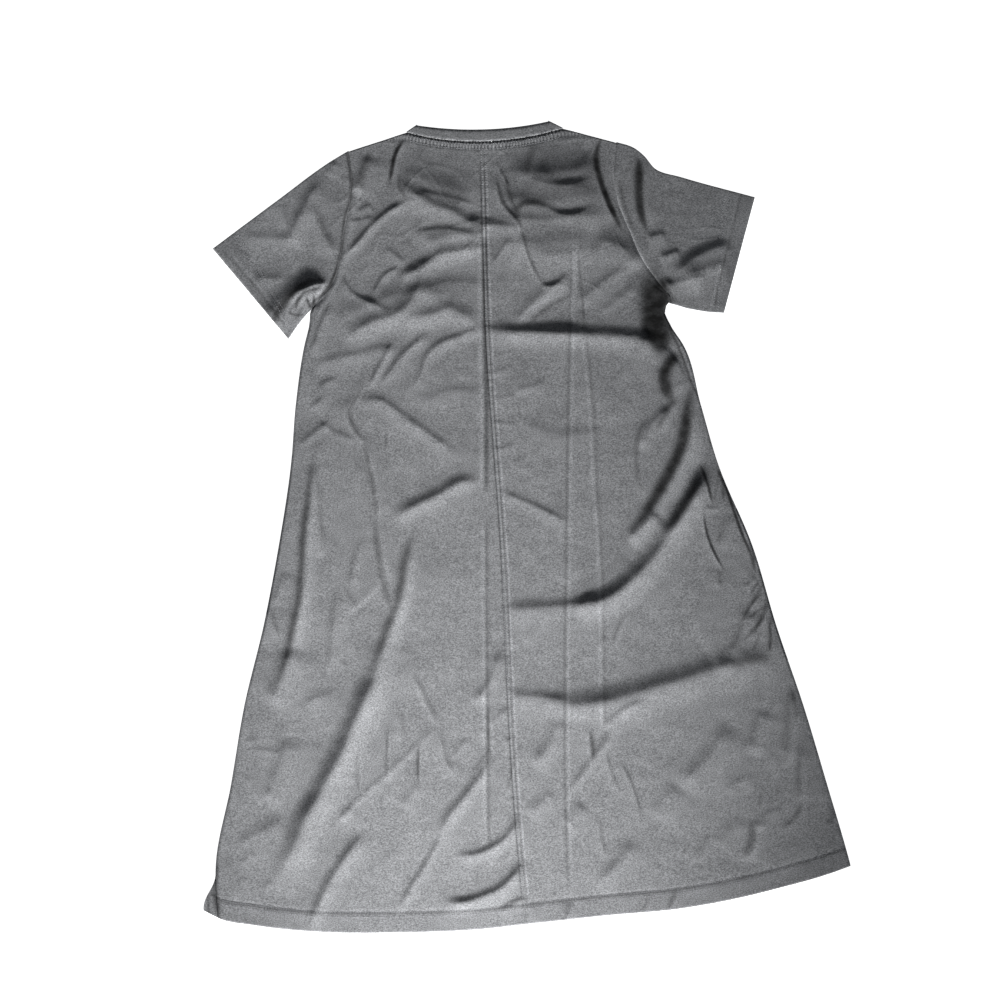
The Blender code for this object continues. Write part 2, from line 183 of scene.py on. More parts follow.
jersey, tree, surface = new_material("cotton jersey, grey melange")
place = add_node(tree, "ShaderNodeTexCoord").outputs["Object"]
along = add_node(tree, "ShaderNodeMapping", {"Scale": STREAKS_PER_METRE}, {"Vector": place})
broad = add_node(tree, "ShaderNodeMapping", {"Scale": MOTTLE_PER_METRE}, {"Vector": place})
streaks = add_node(tree, "ShaderNodeTexNoise", {"Scale": 1.0, "Detail": 4.0, "Roughness": 0.65},
                   {"Vector": along.outputs["Vector"]})
mottle = add_node(tree, "ShaderNodeTexNoise", {"Scale": 1.0, "Detail": 3.0, "Roughness": 0.6},
                  {"Vector": broad.outputs["Vector"]})
fibre = add_node(tree, "ShaderNodeMapRange", {"From Min": 0.38, "From Max": 0.62},
                 {"Value": streaks.outputs["Fac"]})
shade = add_node(tree, "ShaderNodeMix", {"data_type": "RGBA"}, {"Factor": fibre.outputs["Result"]})
shade.inputs["A"].default_value = (*linear(DARK_FIBRE), 1)
shade.inputs["B"].default_value = (*linear(LIGHT_FIBRE), 1)
patch_tone = add_node(tree, "ShaderNodeMapRange",
                      {"From Min": 0.3, "From Max": 0.7, "To Min": 0.90, "To Max": 1.10},
                      {"Value": mottle.outputs["Fac"]})
# painted shade and painted light along folds and seams, read from an attribute of the mesh
painted_shading = add_node(tree, "ShaderNodeAttribute", {"attribute_name": "painted_shade_and_light"})
value = add_node(tree, "ShaderNodeMath", {"operation": "ADD"})
tree.links.new(patch_tone.outputs["Result"], value.inputs[0])
tree.links.new(painted_shading.outputs["Fac"], value.inputs[1])
# the value carries the melange's random patches plus the painted shade and light
toned = add_node(tree, "ShaderNodeHueSaturation", {}, {"Color": shade.outputs["Result"],
                                                       "Value": value.outputs["Value"]})
knit = add_node(tree, "ShaderNodeBump", {"Strength": 1.0, "Distance": FIBRE_RELIEF},
                {"Height": streaks.outputs["Fac"]})
tree.links.new(toned.outputs["Color"], surface.inputs["Base Color"])
tree.links.new(knit.outputs["Normal"], surface.inputs["Normal"])
surface.inputs["Roughness"].default_value = 0.92
surface.inputs["Specular IOR Level"].default_value = 0.25
surface.inputs["Sheen Weight"].default_value = 0.08
surface.inputs["Sheen Roughness"].default_value = 0.6
print(jersey.name, "has", len(tree.nodes), "nodes")

# %% [markdown]
# ## Sewing thread
# The seams are sewn with spun polyester, smoother and a little glossier than the cloth, with an IOR
# of about 1.55. Its twist could be modelled, but at 0.4 mm it would be far below a pixel. A fine
# noise between two greys gives the same flecks.

# %% Polyester thread
TWISTS_PER_METRE = 900.0

thread, tree, surface = new_material("polyester thread, grey")
place = add_node(tree, "ShaderNodeTexCoord").outputs["Object"]
twist = add_node(tree, "ShaderNodeTexNoise", {"Scale": TWISTS_PER_METRE, "Detail": 1.0}, {"Vector": place})
tone = add_node(tree, "ShaderNodeMix", {"data_type": "RGBA"}, {"Factor": twist.outputs["Fac"]})
tone.inputs["A"].default_value = (*linear("#85868A"), 1)
tone.inputs["B"].default_value = (*linear("#A0A1A5"), 1)
tree.links.new(tone.outputs["Result"], surface.inputs["Base Color"])
surface.inputs["Roughness"].default_value = 0.55
surface.inputs["IOR"].default_value = 1.55
print(thread.name, "has", len(tree.nodes), "nodes")

# %% [markdown]
# ## The cut lines
# A cutter draws each piece from a few measured points. These tables repeat the points that the CAD
# was built from, in metres: the body's edges and the seam at each height, the hem and the neck.
# They could be read back from the solids, but then every later cell would depend on the facets.
# With the same points the cloth stays where its solid is.

# %% Cut lines
CLOTH = 0.0007
FRONT_SKIN = 0.0008
BACK_SKIN = 0.0027
DEEPEST = -0.0008  # how far the back may sink below its skin before it meets the front
HEM_DEPTH = 0.025

SECTIONS = (  # height, left edge, centre-back seam, right edge
    (-0.498, -0.384, 0.002, 0.424), (-0.423, -0.387, -0.005, 0.406), (-0.323, -0.368, -0.013, 0.377),
    (-0.223, -0.351, -0.019, 0.347), (-0.123, -0.327, -0.024, 0.313), (-0.023, -0.308, -0.028, 0.283),
    (0.077, -0.293, -0.035, 0.241), (0.152, -0.287, -0.041, 0.219), (0.227, -0.276, -0.046, 0.197),
    (0.252, -0.270, -0.047, 0.181), (0.272, -0.267, -0.048, 0.174), (0.284, -0.257, -0.048, 0.181),
    (0.302, -0.242, -0.048, 0.168), (0.333, -0.232, -0.049, 0.146), (0.371, -0.226, -0.050, 0.129),
    (0.406, -0.219, -0.051, 0.115), (0.440, -0.217, -0.052, 0.111), (0.482, -0.224, -0.054, 0.114),
)
HEM = (  # across, height
    (-0.402, -0.480), (-0.384, -0.489), (-0.338, -0.498), (-0.276, -0.505), (-0.151, -0.507),
    (-0.057, -0.503), (0.006, -0.496), (0.099, -0.486), (0.193, -0.477), (0.256, -0.466),
    (0.318, -0.451), (0.381, -0.433), (0.406, -0.424),
)
LEFT_NECK, NECKLINE_MIDDLE, RIGHT_NECK = (-0.148, 0.492), (-0.052, 0.481), (0.046, 0.497)
LEFT_BAND_END, RIGHT_BAND_END = (-0.135, 0.501), (0.028, 0.506)
print("skirt in mm:", round(1000 * (HEM[-1][0] - HEM[0][0])), "wide at the hem")

# %% [markdown]
# ## Smooth curves
# A cut edge is a curve, not a chain of straight lines. Blender's curve objects could draw it, but
# we need its place at any height, for thousands of points at once. One function of NumPy arrays
# passes smoothly through the values of a table, and the others mix points and soften steps.

# %% Smooth curves
def between(start, end, part):
    """A mix of two numbers."""
    return start + (end - start) * part


def mix(start, end, part):
    """A mix of two points, for one part or for an array of them."""
    start, end = np.asarray(start, float), np.asarray(end, float)
    return start + (end - start) * np.asarray(part, float)[..., None]


def soft(part):
    """0 below 0, 1 above 1, and a soft rise between them."""
    part = np.clip(part, 0, 1)
    return part * part * (3 - 2 * part)


def smooth_curve(knots, values):
    """A function that passes smoothly through the values at the knots."""
    knots, values = np.array(knots, float), np.array(values, float)
    slopes = np.gradient(values, knots, axis=0)

    def at(knot):
        knot = np.asarray(knot, float)
        span = np.clip(np.searchsorted(knots, knot) - 1, 0, len(knots) - 2)
        width = knots[span + 1] - knots[span]
        part = (knot - knots[span]) / width
        if values.ndim > 1:
            width, part = width[..., None], part[..., None]
        value = values[span] + (values[span + 1] - values[span]) * part * part * (3 - 2 * part)
        value = value + slopes[span] * width * part * (1 - part) ** 2
        return value - slopes[span + 1] * width * part**2 * (1 - part)

    return at


def lengths_along(points):
    """How far along a path each of its points is."""
    return np.concatenate(([0], np.cumsum(np.hypot(*np.diff(points, axis=0).T))))


heights = [section[0] for section in SECTIONS]
left_edge = smooth_curve(heights, [section[1] for section in SECTIONS])
seam_line = smooth_curve(heights, [section[2] for section in SECTIONS])
right_edge = smooth_curve(heights, [section[3] for section in SECTIONS])
hem_line = smooth_curve([point[0] for point in HEM], [point[1] for point in HEM])
print("body at the armpits in mm:", round(1000 * float(right_edge(0.273) - left_edge(0.273))))

# %% [markdown]
# ## A sheet between four edges
# Each piece of cloth is bounded by four edges. A straight mix of two opposite edges would miss the
# other two, so we mix both pairs and take away what was counted twice at the corners. This is
# called a Coons patch. It gives every part along and up the piece its place.

# %% Sheets between edges
def line_to(start, end):
    return lambda part: mix(start, end, part)


def bend(start, middle, end, part):
    """A point on the parabola that passes the middle point half way."""
    start, middle, end = (np.array(point, float) for point in (start, middle, end))
    control = 2 * middle - (start + end) / 2
    part = np.asarray(part, float)[..., None]
    return start * (1 - part) ** 2 + control * 2 * part * (1 - part) + end * part**2


def patch(left, right, bottom, top):
    """The sheet that four edges span: a place for each part along the bottom and up the sides."""

    def at(along, up):
        upright = mix(left(up), right(up), along)
        level = mix(bottom(along), top(along), up)
        corners = mix(mix(left(0), right(0), along), mix(left(1), right(1), along), up)
        return upright + level - corners

    return at


def joined(*pieces):
    """One edge made of several, each with its own number of columns."""
    shares = np.cumsum([0] + [columns for columns, _ in pieces]) / sum(columns for columns, _ in pieces)

    def at(along):
        along = np.asarray(along, float)
        point = np.zeros(along.shape + (2,))
        for which, (_, edge) in enumerate(pieces):
            part = (along - shares[which]) / (shares[which + 1] - shares[which])
            mine = (part >= 0) & (part <= 1 + 1e-9)
            point[mine] = edge(np.clip(part, 0, 1))[mine]
        return point

    return at


square = patch(line_to((0, 0), (0, 1)), line_to((1, 0), (1, 1)),
               line_to((0, 0), (1, 0)), line_to((0, 1), (1, 1)))
print("the middle of a square patch:", square(np.array([0.5]), np.array([0.5]))[0].tolist())

# %% [markdown]
# ## The two sides
# The dress is cut the same on both sides, but it lies turned, so each side has its own numbers:
# the direction away from the body, the body's edge, its heights at the hem, the armpit and the
# top, its neck point, the edges over and under the arm, and the widths of the pocket bag. One
# record for each side lets the same code make both.

# %% The two sides
Side = namedtuple("Side", "name outward edge uprights neck sleeve bag")
LEFT = Side("left", -1, left_edge, (-0.489, 0.273, 0.468), LEFT_NECK,
            ((0.15, (-0.246, 0.453), (-0.273, 0.266)), (0.50, (-0.307, 0.408), (-0.284, 0.253)),
             (1.00, (-0.390, 0.346), (-0.297, 0.235))),
            ((-0.112, 0.095), (-0.073, 0.128), (-0.018, 0.120), (0.046, 0.100), (0.088, 0.075)))
RIGHT = Side("right", 1, right_edge, (-0.424, 0.280, 0.479), RIGHT_NECK,
             ((0.12, (0.133, 0.473), (0.190, 0.277)), (0.25, (0.148, 0.462), (0.200, 0.274)),
              (0.38, (0.163, 0.445), (0.210, 0.272)), (0.55, (0.195, 0.435), (0.222, 0.270)),
              (1.00, (0.286, 0.410), (0.248, 0.268))),
             ((-0.169, 0.085), (-0.120, 0.094), (-0.054, 0.058), (-0.017, 0.051), (0.023, 0.040)))
SEAM_UPRIGHTS = (-0.497, 0.276, 0.481)
ARMPIT_PART = 34 / 46


def upright_edge(edge, uprights):
    """An upright edge as a function of the part up it, with the armpit's level at ARMPIT_PART."""

    def at(up):
        height = np.interp(up, (0, ARMPIT_PART, 1), uprights)
        return np.stack((edge(height), height), -1)

    return at


def hem_edge(start, end):
    def at(along):
        across = between(start, end, along)
        return np.stack((across, hem_line(across)), -1)

    return at


for side in (LEFT, RIGHT):
    low, armpit, high = side.uprights
    print(side.name, "side seam and armhole in mm:",
          round(1000 * (armpit - low)), round(1000 * (high - armpit)))

# %% [markdown]
# ## The neck
# At the back the neckline is a shallow curve between the neck points, and at the front it is
# scooped out. Circles wouldn't fit, because the neck points aren't level. A parabola fits the back
# through three points, and half an ellipse on the tilted line between the neck points the front.

# %% The neck
SCOOP_DEPTH = 0.100
BAND_WIDTH = 0.015


def back_neckline(part):
    return bend(LEFT_NECK, NECKLINE_MIDDLE, RIGHT_NECK, part)


def scoop(part, inset=0.0):
    """The seam of the front's neck: half an ellipse from the left neck point to the right one."""
    angle = np.pi * (1 - np.asarray(part, float))[..., None]
    half = (np.array(RIGHT_NECK) - np.array(LEFT_NECK)) / 2
    half_width = np.hypot(*half)
    along = half / half_width
    down = np.array((along[1], -along[0]))
    point = (np.array(LEFT_NECK) + np.array(RIGHT_NECK)) / 2
    return point + along * (half_width - inset) * np.cos(angle) + down * (SCOOP_DEPTH - inset) * np.sin(angle)


steps = np.linspace(0, 1, 50)
neck_seam = lengths_along(back_neckline(steps))[-1] + lengths_along(scoop(steps))[-1]
print("neck seam all round in mm:", round(1000 * neck_seam))

# %% [markdown]
# ## Creases
# Cloth that was pulled straight on a table keeps ridges: a steep side, a rounded crest and a
# longer, gentler side. A cloth simulation makes ridges too, but never these ones in these places.
# So each row of the table is one ridge, given as the points that its crest passes, the widths
# of its steep and its gentle side and its height, all in millimetres. Seen from the first point the
# steep side is on the left, and it turns away from the lamp. The last number is used in the cells
# on painted shade and light: where a ridge runs along the light, its steep side is painted this
# much darker and its gentle side a little lighter.

# %% The table of creases
CREASES = (
    # the waist, from the centre seam to the right armpit, and the arch on the left of the seam
    (((71, 242), (118, 241), (171, 235)), 16, 40, 1.0, 0),
    (((-77, 246), (-32, 244), (18, 242), (92, 239)), 16, 27, 1.3, 0),
    (((-68, 242), (-7, 241), (68, 239), (147, 232), (188, 222)), 18, 22, 3.4, 0),
    (((-233, 231), (-210, 244), (-189, 255), (-161, 264), (-145, 276), (-134, 297),
      (-124, 325)), 18, 23, 3.9, 0),
    (((-162, 246), (-139, 259), (-111, 265), (-95, 270), (-81, 264), (-53, 246)), 18, 24, 3.5, 0),
    (((-252, 249), (-194, 276), (-156, 288), (-108, 288), (-60, 272)), 24, 45, 2.2, 0),
    (((-184, 171), (-152, 214), (-117, 245)), 10, 14, 1.9, 0),
    (((-139, 166), (-129, 194), (-122, 213), (-105, 228), (-84, 236), (-48, 253)), 10, 14, 1.9, 0),
    (((-274, 196), (-238, 208), (-202, 216), (-153, 227)), 12, 22, 1.3, 0),
    (((-196, 171), (-182, 199), (-165, 230)), 8, 11, 1.9, 0),
    (((-194, 199), (-213, 162), (-222, 142), (-215, 121), (-193, 98)), 8, 11, 1.1, 0.46),
    (((-272, 145), (-252, 163), (-254, 174), (-230, 185)), 8, 19, 1.2, 0),
    (((-264, 133), (-235, 116), (-207, 105)), 6, 12, 0.8, 0),
    (((-286, 99), (-263, 116), (-242, 133)), 8, 10, 0.9, 0),
    (((-215, 156), (-180, 156), (-164, 146), (-142, 129), (-118, 113), (-78, 81)), 10, 17, 1.8, 0),
    (((-173, 93), (-171, 121)), 6, 12, 0.3, 0.29),
    (((-173, 7), (-127, 30), (-104, 41), (-85, 53), (-49, 57)), 16, 19, 3.4, 0),
    (((-36, 45), (11, 25), (59, 1)), 8, 15, 1.5, 0),
    (((-43, 190), (-13, 200)), 6, 10, 0.5, 0),
    (((-42, 158), (-12, 164)), 6, 10, 0.5, 0),
    (((-42, 130), (-9, 126)), 6, 11, 0.6, 0),
    (((-42, 93), (-11, 102)), 6, 10, 0.5, 0),
    (((-16, 168), (29, 179)), 8, 13, 0.7, 0),
    (((-139, 150), (-87, 168), (-49, 162)), 16, 35, 1.1, 0),
    (((-13, 132), (43, 113), (105, 119)), 16, 35, 1.1, 0),
    # the left skirt: the pocket's edge, the long side fold and the big diagonal
    (((-182, -2), (-189, 55), (-196, 86), (-200, 116)), 8, 15, 1.2, 0.35),
    (((-318, -220), (-303, -187), (-295, -163), (-288, -129), (-280, -93), (-276, -52), (-274, -10),
      (-268, 33), (-263, 74), (-255, 113)), 14, 27, 2.1, 0.67),
    (((-319, -227), (-302, -189), (-289, -149)), 22, 37, 3.7, 0),
    (((-323, -462), (-299, -422), (-284, -394), (-274, -366), (-259, -342), (-244, -312),
      (-228, -284), (-213, -247), (-199, -217), (-186, -187), (-180, -164),
      (-166, -134)), 24, 34, 8.2, 0),
    (((-193, -190), (-175, -146), (-166, -121), (-160, -108), (-151, -72), (-147, -44),
      (-135, -0)), 16, 20, 2.4, 0.57),
    (((-160, -117), (-176, -61), (-182, -21), (-187, 18)), 12, 22, 1.8, 0.46),
    (((-244, -185), (-239, -122), (-232, -69)), 12, 20, 1.2, 0.17),
    (((-232, -70), (-206, -112)), 6, 10, 0.3, 0.17),
    (((-220, -84), (-214, -50), (-205, -13)), 10, 13, 0.8, 0.17),
    (((-264, 82), (-258, 8), (-252, -42)), 12, 20, 1.5, 0.23),
    (((-315, -101), (-308, -78), (-296, -54)), 12, 26, 1.2, 0),
    (((-322, -99), (-309, -142)), 10, 20, 0.5, 0.29),
    (((-313, -10), (-292, -4)), 8, 13, 0.7, 0),
    (((-361, -270), (-331, -266)), 6, 9, 0.6, 0),
    (((-344, -278), (-303, -283)), 6, 9, 0.7, 0),
    (((-281, -219), (-261, -216), (-238, -205)), 10, 19, 1.0, 0),
    (((-328, -353), (-307, -306), (-294, -259)), 18, 40, 2.5, 0),
    (((-366, -401), (-327, -382), (-297, -366)), 20, 44, 1.9, 0),
    (((-159, -231), (-152, -269)), 10, 17, 0.5, 0.23),
    (((-143, -180), (-122, -223), (-110, -252)), 8, 10, 1.2, 0.25),
    (((-172, -323), (-172, -279), (-170, -244)), 5, 11, 0.8, 0.4),
    (((-206, -337), (-211, -281)), 5, 10, 0.3, 0.35),
    (((-133, -325), (-133, -268)), 5, 13, 0.8, 0.52),
    (((-258, -386), (-229, -363), (-206, -339), (-169, -306), (-133, -272),
      (-103, -242)), 8, 10, 1.0, 0),
    (((-158, -354), (-142, -335), (-128, -315)), 10, 17, 1.1, 0),
    (((-231, -367), (-218, -350)), 10, 20, 1.1, 0),
    (((-107, -254), (-101, -287), (-90, -312)), 6, 12, 0.9, 0.29),
    (((-93, -291), (-72, -265)), 8, 10, 0.9, 0),
    (((-110, -401), (-96, -364), (-74, -337), (-57, -313), (-40, -281)), 12, 17, 3.1, 0),
    (((-271, -509), (-259, -477), (-249, -454), (-237, -433), (-222, -411),
      (-197, -377)), 14, 21, 4.2, 0),
    (((-161, -486), (-142, -451), (-124, -422), (-100, -379)), 8, 12, 2.2, 0),
    (((-328, -457), (-318, -442)), 8, 13, 0.9, 0),
    (((-356, -423), (-338, -405)), 10, 20, 1.1, 0),
    # the folds that end on the centre seam, down to the hem
    (((-92, -412), (-59, -409), (-39, -400), (-27, -392), (-18, -382), (-6, -356)), 10, 17, 2.9, 0),
    (((-111, -469), (-73, -469), (-53, -462), (-32, -453), (-18, -441), (2, -413)), 12, 21, 4.1, 0),
    (((-37, -483), (-17, -474), (1, -461)), 8, 16, 1.2, 0),
    (((-68, -311), (-44, -280)), 6, 10, 0.7, 0),
    (((-43, -292), (-45, -257), (-45, -217)), 6, 12, 0.9, 0.35),
    (((-30, -264), (-18, -269)), 6, 12, 0.7, 0),
    (((-22, -334), (-13, -291)), 6, 12, 0.3, 0.29),
    (((-48, -251), (-30, -234), (-17, -227)), 8, 13, 0.9, 0),
    (((-66, -225), (-44, -194), (-31, -154)), 12, 20, 2.5, 0),
    (((2, -362), (36, -331)), 16, 24, 1.6, 0),
    (((48, -375), (75, -347)), 18, 29, 1.7, 0),
    (((7, -301), (32, -272), (45, -237)), 16, 26, 2.6, 0),
    (((47, -487), (58, -470)), 8, 16, 0.9, 0),
    (((178, -482), (192, -453)), 8, 23, 0.5, 0.46),
    (((148, -485), (156, -460)), 8, 16, 0.4, 0.29),
    (((85, -450), (116, -422), (136, -390)), 14, 23, 2.3, 0),
    # the right side: the armpit, the two long folds at the hip and the one across the thigh
    (((139, 234), (158, 224), (169, 217), (182, 224)), 18, 45, 2.5, 0),
    (((185, 158), (178, 174), (176, 188), (180, 200), (196, 211)), 16, 31, 2.4, 0.8),
    (((144, 93), (154, 119), (166, 136), (183, 151)), 12, 16, 2.5, 0),
    (((166, 115), (174, 134), (181, 147), (192, 156)), 12, 19, 0.8, 0.57),
    (((149, 33), (142, 73), (142, 108), (156, 142)), 10, 14, 1.5, 0.32),
    (((117, -32), (140, -5), (158, 20), (173, 45), (187, 71), (198, 95), (204, 120), (206, 145),
      (213, 181)), 18, 28, 2.8, 0.8),
    (((45, -104), (82, -99), (104, -90), (125, -75), (146, -55), (164, -35), (179, -13), (194, 9),
      (210, 37), (225, 62), (237, 86)), 22, 30, 7.5, 0),
    (((171, -18), (195, 15), (210, 39), (227, 69)), 16, 22, 2.4, 0.46),
    (((-36, -105), (18, -102), (59, -99), (106, -89)), 16, 38, 2.9, 0),
    (((126, -19), (149, 2), (169, 17)), 16, 35, 2.7, 0),
    (((5, -219), (51, -224), (98, -220), (152, -205), (204, -190), (263, -171),
      (326, -159)), 26, 41, 6.0, 0),
    (((-25, -212), (18, -214), (58, -220)), 14, 37, 2.5, 0),
    (((274, -79), (290, -62)), 6, 9, 0.7, 0),
    (((269, -125), (282, -99), (302, -67)), 6, 10, 0.9, 0.4),
    (((283, -145), (293, -122), (308, -87)), 8, 15, 1.2, 0.46),
    (((310, -168), (306, -131), (316, -93)), 8, 19, 1.2, 0.35),
    (((254, -165), (270, -134), (279, -102)), 14, 29, 2.0, 0.23),
    (((107, -152), (117, -128), (127, -105)), 8, 11, 0.4, 0.32),
    (((89, -155), (100, -136)), 6, 11, 0.7, 0),
    (((66, -104), (81, -84)), 6, 12, 0.7, 0),
    (((95, -254), (122, -230), (150, -217)), 10, 15, 2.4, 0),
    (((50, -338), (76, -303), (99, -272), (120, -234)), 10, 12, 2.1, 0),
    (((78, -249), (84, -297)), 6, 17, 0.4, 0.57),
    (((99, -275), (105, -304), (116, -334)), 6, 10, 0.9, 0.23),
    (((112, -284), (130, -317), (142, -356), (144, -377)), 5, 15, 0.8, 0.37),
    (((92, -359), (94, -390), (102, -418)), 6, 10, 0.9, 0.23),
    (((250, -335), (264, -320), (286, -312)), 10, 18, 1.1, 0),
    (((317, -381), (339, -364), (348, -338)), 10, 22, 0.5, 0.4),
    (((344, -349), (343, -272)), 12, 23, 1.8, 0.35),
    (((290, -382), (300, -360), (323, -354)), 8, 22, 1.2, 0),
    (((294, -354), (295, -330)), 6, 14, 0.3, 0.35),
    (((275, -419), (286, -390), (285, -364)), 14, 30, 2.1, 0.57),
    (((383, -378), (389, -347)), 14, 33, 0.6, 0.35),
    (((196, -415), (207, -393)), 6, 11, 0.3, 0.32),
    (((212, -419), (235, -382)), 14, 23, 0.6, 0.17),
    (((280, -287), (300, -227)), 18, 29, 2.2, 0.17),
    (((328, -303), (331, -242), (334, -194)), 16, 32, 2.4, 0.29),
    (((191, -329), (231, -286), (256, -244)), 20, 44, 3.5, 0),
    (((157, -365), (191, -321)), 18, 37, 1.7, 0),
    (((241, -402), (268, -362)), 20, 41, 0.9, 0.16),
    # the right pocket: its mouth, its edge under the cloth and the gathers below it
    (((293, -65), (282, -31), (272, -10), (261, 19), (253, 46), (238, 91)), 5, 6, 0.8, 0.69),
    (((221, 22), (223, 2), (228, -17), (237, -38), (249, -57)), 4, 8, 0.7, 0.75),
    (((238, -52), (242, -77)), 10, 20, 0.5, 0.29),
    (((250, 13), (240, 24), (242, 61), (234, 91)), 5, 6, 0.8, 0.52),
    (((216, 79), (225, 53), (232, 26)), 5, 8, 0.4, 0.57),
    (((222, 23), (244, 21)), 5, 8, 0.8, 0),
    (((242, -29), (251, -3), (254, 17)), 18, 35, 0.8, 0.21),
    # the upper back
    (((-44, 384), (25, 381), (111, 389)), 20, 45, 4.0, 0),
    (((-4, 434), (43, 424), (88, 434)), 12, 35, 2.1, 0),
    (((-141, 419), (-100, 410), (-57, 398)), 10, 29, 1.8, 0),
    (((-148, 364), (-102, 370), (-54, 358)), 10, 29, 1.8, 0),
    (((-44, 354), (25, 351), (94, 360)), 30, 45, 4.0, 0),
    (((-45, 410), (25, 404), (106, 416)), 30, 45, 4.5, 0),
    (((-34, 442), (31, 439), (102, 451)), 30, 45, 3.8, 0),
    (((-133, 349), (-91, 361), (-48, 364)), 24, 45, 2.9, 0),
    (((81, 358), (117, 347), (143, 320)), 24, 45, 3.5, 0),
    (((-168, 430), (-159, 469), (-148, 484)), 6, 15, 0.9, 0.8),
    (((-215, 413), (-204, 438), (-193, 465)), 14, 31, 2.0, 0),
    (((-211, 391), (-191, 402)), 8, 16, 1.1, 0),
    (((-232, 331), (-211, 352), (-189, 377), (-170, 393), (-135, 409)), 9, 11, 2.1, 0),
    (((-158, 443), (-160, 425), (-146, 402)), 6, 15, 0.4, 0.37),
    (((-221, 379), (-187, 386)), 6, 13, 0.8, 0),
    (((-162, 438), (-137, 412), (-114, 399), (-92, 392), (-76, 382), (-39, 374)), 18, 29, 4.4, 0),
    (((-166, 445), (-110, 426), (-51, 408)), 32, 45, 3.1, 0),
    (((-58, 378), (-33, 375), (-2, 370)), 14, 21, 2.6, 0),
    (((-167, 306), (-126, 325), (-104, 339), (-83, 343), (-44, 352)), 16, 19, 3.4, 0),
    (((-176, 349), (-148, 326)), 6, 13, 0.9, 0),
    (((-233, 317), (-217, 292), (-191, 278), (-165, 267)), 6, 13, 1.2, 0),
    (((-192, 285), (-175, 314), (-155, 325)), 6, 11, 1.1, 0),
    (((-38, 456), (-28, 437), (-19, 419)), 5, 11, 0.4, 0.4),
    (((1, 430), (15, 479)), 14, 27, 0.8, 0.35),
    (((-39, 441), (-29, 402), (-12, 381), (-1, 365)), 7, 16, 1.1, 0.63),
    (((-23, 387), (-1, 400), (22, 398), (43, 389), (59, 388), (90, 403)), 10, 16, 1.9, 0),
    (((-9, 378), (5, 331), (23, 296)), 6, 13, 0.9, 0.4),
    (((16, 301), (33, 300), (55, 316)), 7, 10, 1.4, 0),
    (((-17, 250), (14, 282), (34, 297), (61, 306)), 14, 17, 1.8, 0),
    (((-42, 326), (-17, 362)), 6, 12, 0.9, 0),
    (((92, 264), (140, 302)), 10, 12, 0.8, 0),
    (((88, 450), (97, 414), (114, 377)), 7, 27, 1.1, 0.75),
    (((8, 446), (42, 426), (88, 420)), 16, 41, 1.5, 0),
    (((-6, 340), (44, 337), (105, 349)), 20, 45, 1.9, 0),
    (((-139, 288), (-99, 303), (-48, 300)), 16, 41, 1.5, 0),
    (((62, 275), (95, 303), (129, 324)), 12, 20, 1.5, 0),
    (((-267, 213), (-255, 250), (-242, 281)), 8, 15, 1.6, 0),
    (((-284, 287), (-265, 301), (-245, 302)), 8, 15, 1.5, 0),
    # the right shoulder and sleeve
    (((148, 372), (143, 413), (142, 462)), 12, 23, 1.8, 0.8),
    (((166, 334), (194, 344)), 10, 16, 1.9, 0),
    (((154, 295), (189, 303), (229, 313)), 14, 25, 3.0, 0),
    (((151, 359), (176, 366)), 10, 24, 1.8, 0),
    (((180, 308), (217, 337), (260, 354)), 18, 37, 4.1, 0),
    (((196, 312), (255, 329)), 16, 38, 3.0, 0),
    # the left sleeve
    (((-329, 244), (-308, 274), (-292, 289), (-275, 298), (-237, 303)), 26, 45, 5.1, 0),
    (((-295, 261), (-281, 282), (-254, 295)), 6, 7, 1.0, 0),
    (((-288, 252), (-276, 270), (-257, 279)), 6, 7, 1.0, 0),
    (((-299, 279), (-281, 294), (-260, 300)), 6, 8, 1.1, 0),
    (((-297, 351), (-276, 396), (-255, 434)), 14, 23, 2.6, 0),
    (((-269, 405), (-256, 374), (-238, 335)), 12, 20, 1.8, 0.29),
    (((-303, 405), (-299, 370)), 10, 17, 0.6, 0.23),
    (((-247, 437), (-237, 456)), 10, 20, 1.4, 0),
    (((-361, 361), (-312, 359), (-269, 355)), 14, 23, 1.4, 0),
    (((-341, 309), (-300, 308)), 12, 20, 1.2, 0),
)
highest = max(CREASES, key=lambda row: row[3])
print(len(CREASES), "ridges; the highest is", highest[3], "mm high")

# %% [markdown]
# ## Adding up the ridges
# Each ridge raises the cloth near it. Sculpting by hand would do that once. A function can be asked
# again, for the grid, the stitches and the tone alike. For each ridge it takes the places near
# it, finds the nearest spot on the crest, and reads off the height from the distance and from how
# near the ridge is to its ends. A wide, low foot under each ridge joins it to the flat cloth.

# %% Add up the ridges
CREST_STEP = 0.004
ROUND_CREST, ROUND_FOOT = 0.20, 0.5
END_TAPER = 0.24
FOOT_SHARE, FOOT_WIDTH = 0.22, 2.4


def crest_line(points):
    """The crest as short straight pieces: a smooth curve through the points, in metres."""
    points = np.array(points, float) / 1000
    lengths = lengths_along(points)
    steps = max(2, math.ceil(lengths[-1] / CREST_STEP))
    return smooth_curve(lengths, points)(np.linspace(0, lengths[-1], steps + 1))


def ridge_profile(away, roundness):
    """1 on the crest and 0 where away is 1, with a rounded top and a foot that runs out flat."""
    rounded = np.sqrt(away**2 + roundness**2)
    return np.clip(1 - rounded, 0, None) ** 2 / (1 - roundness) ** 2


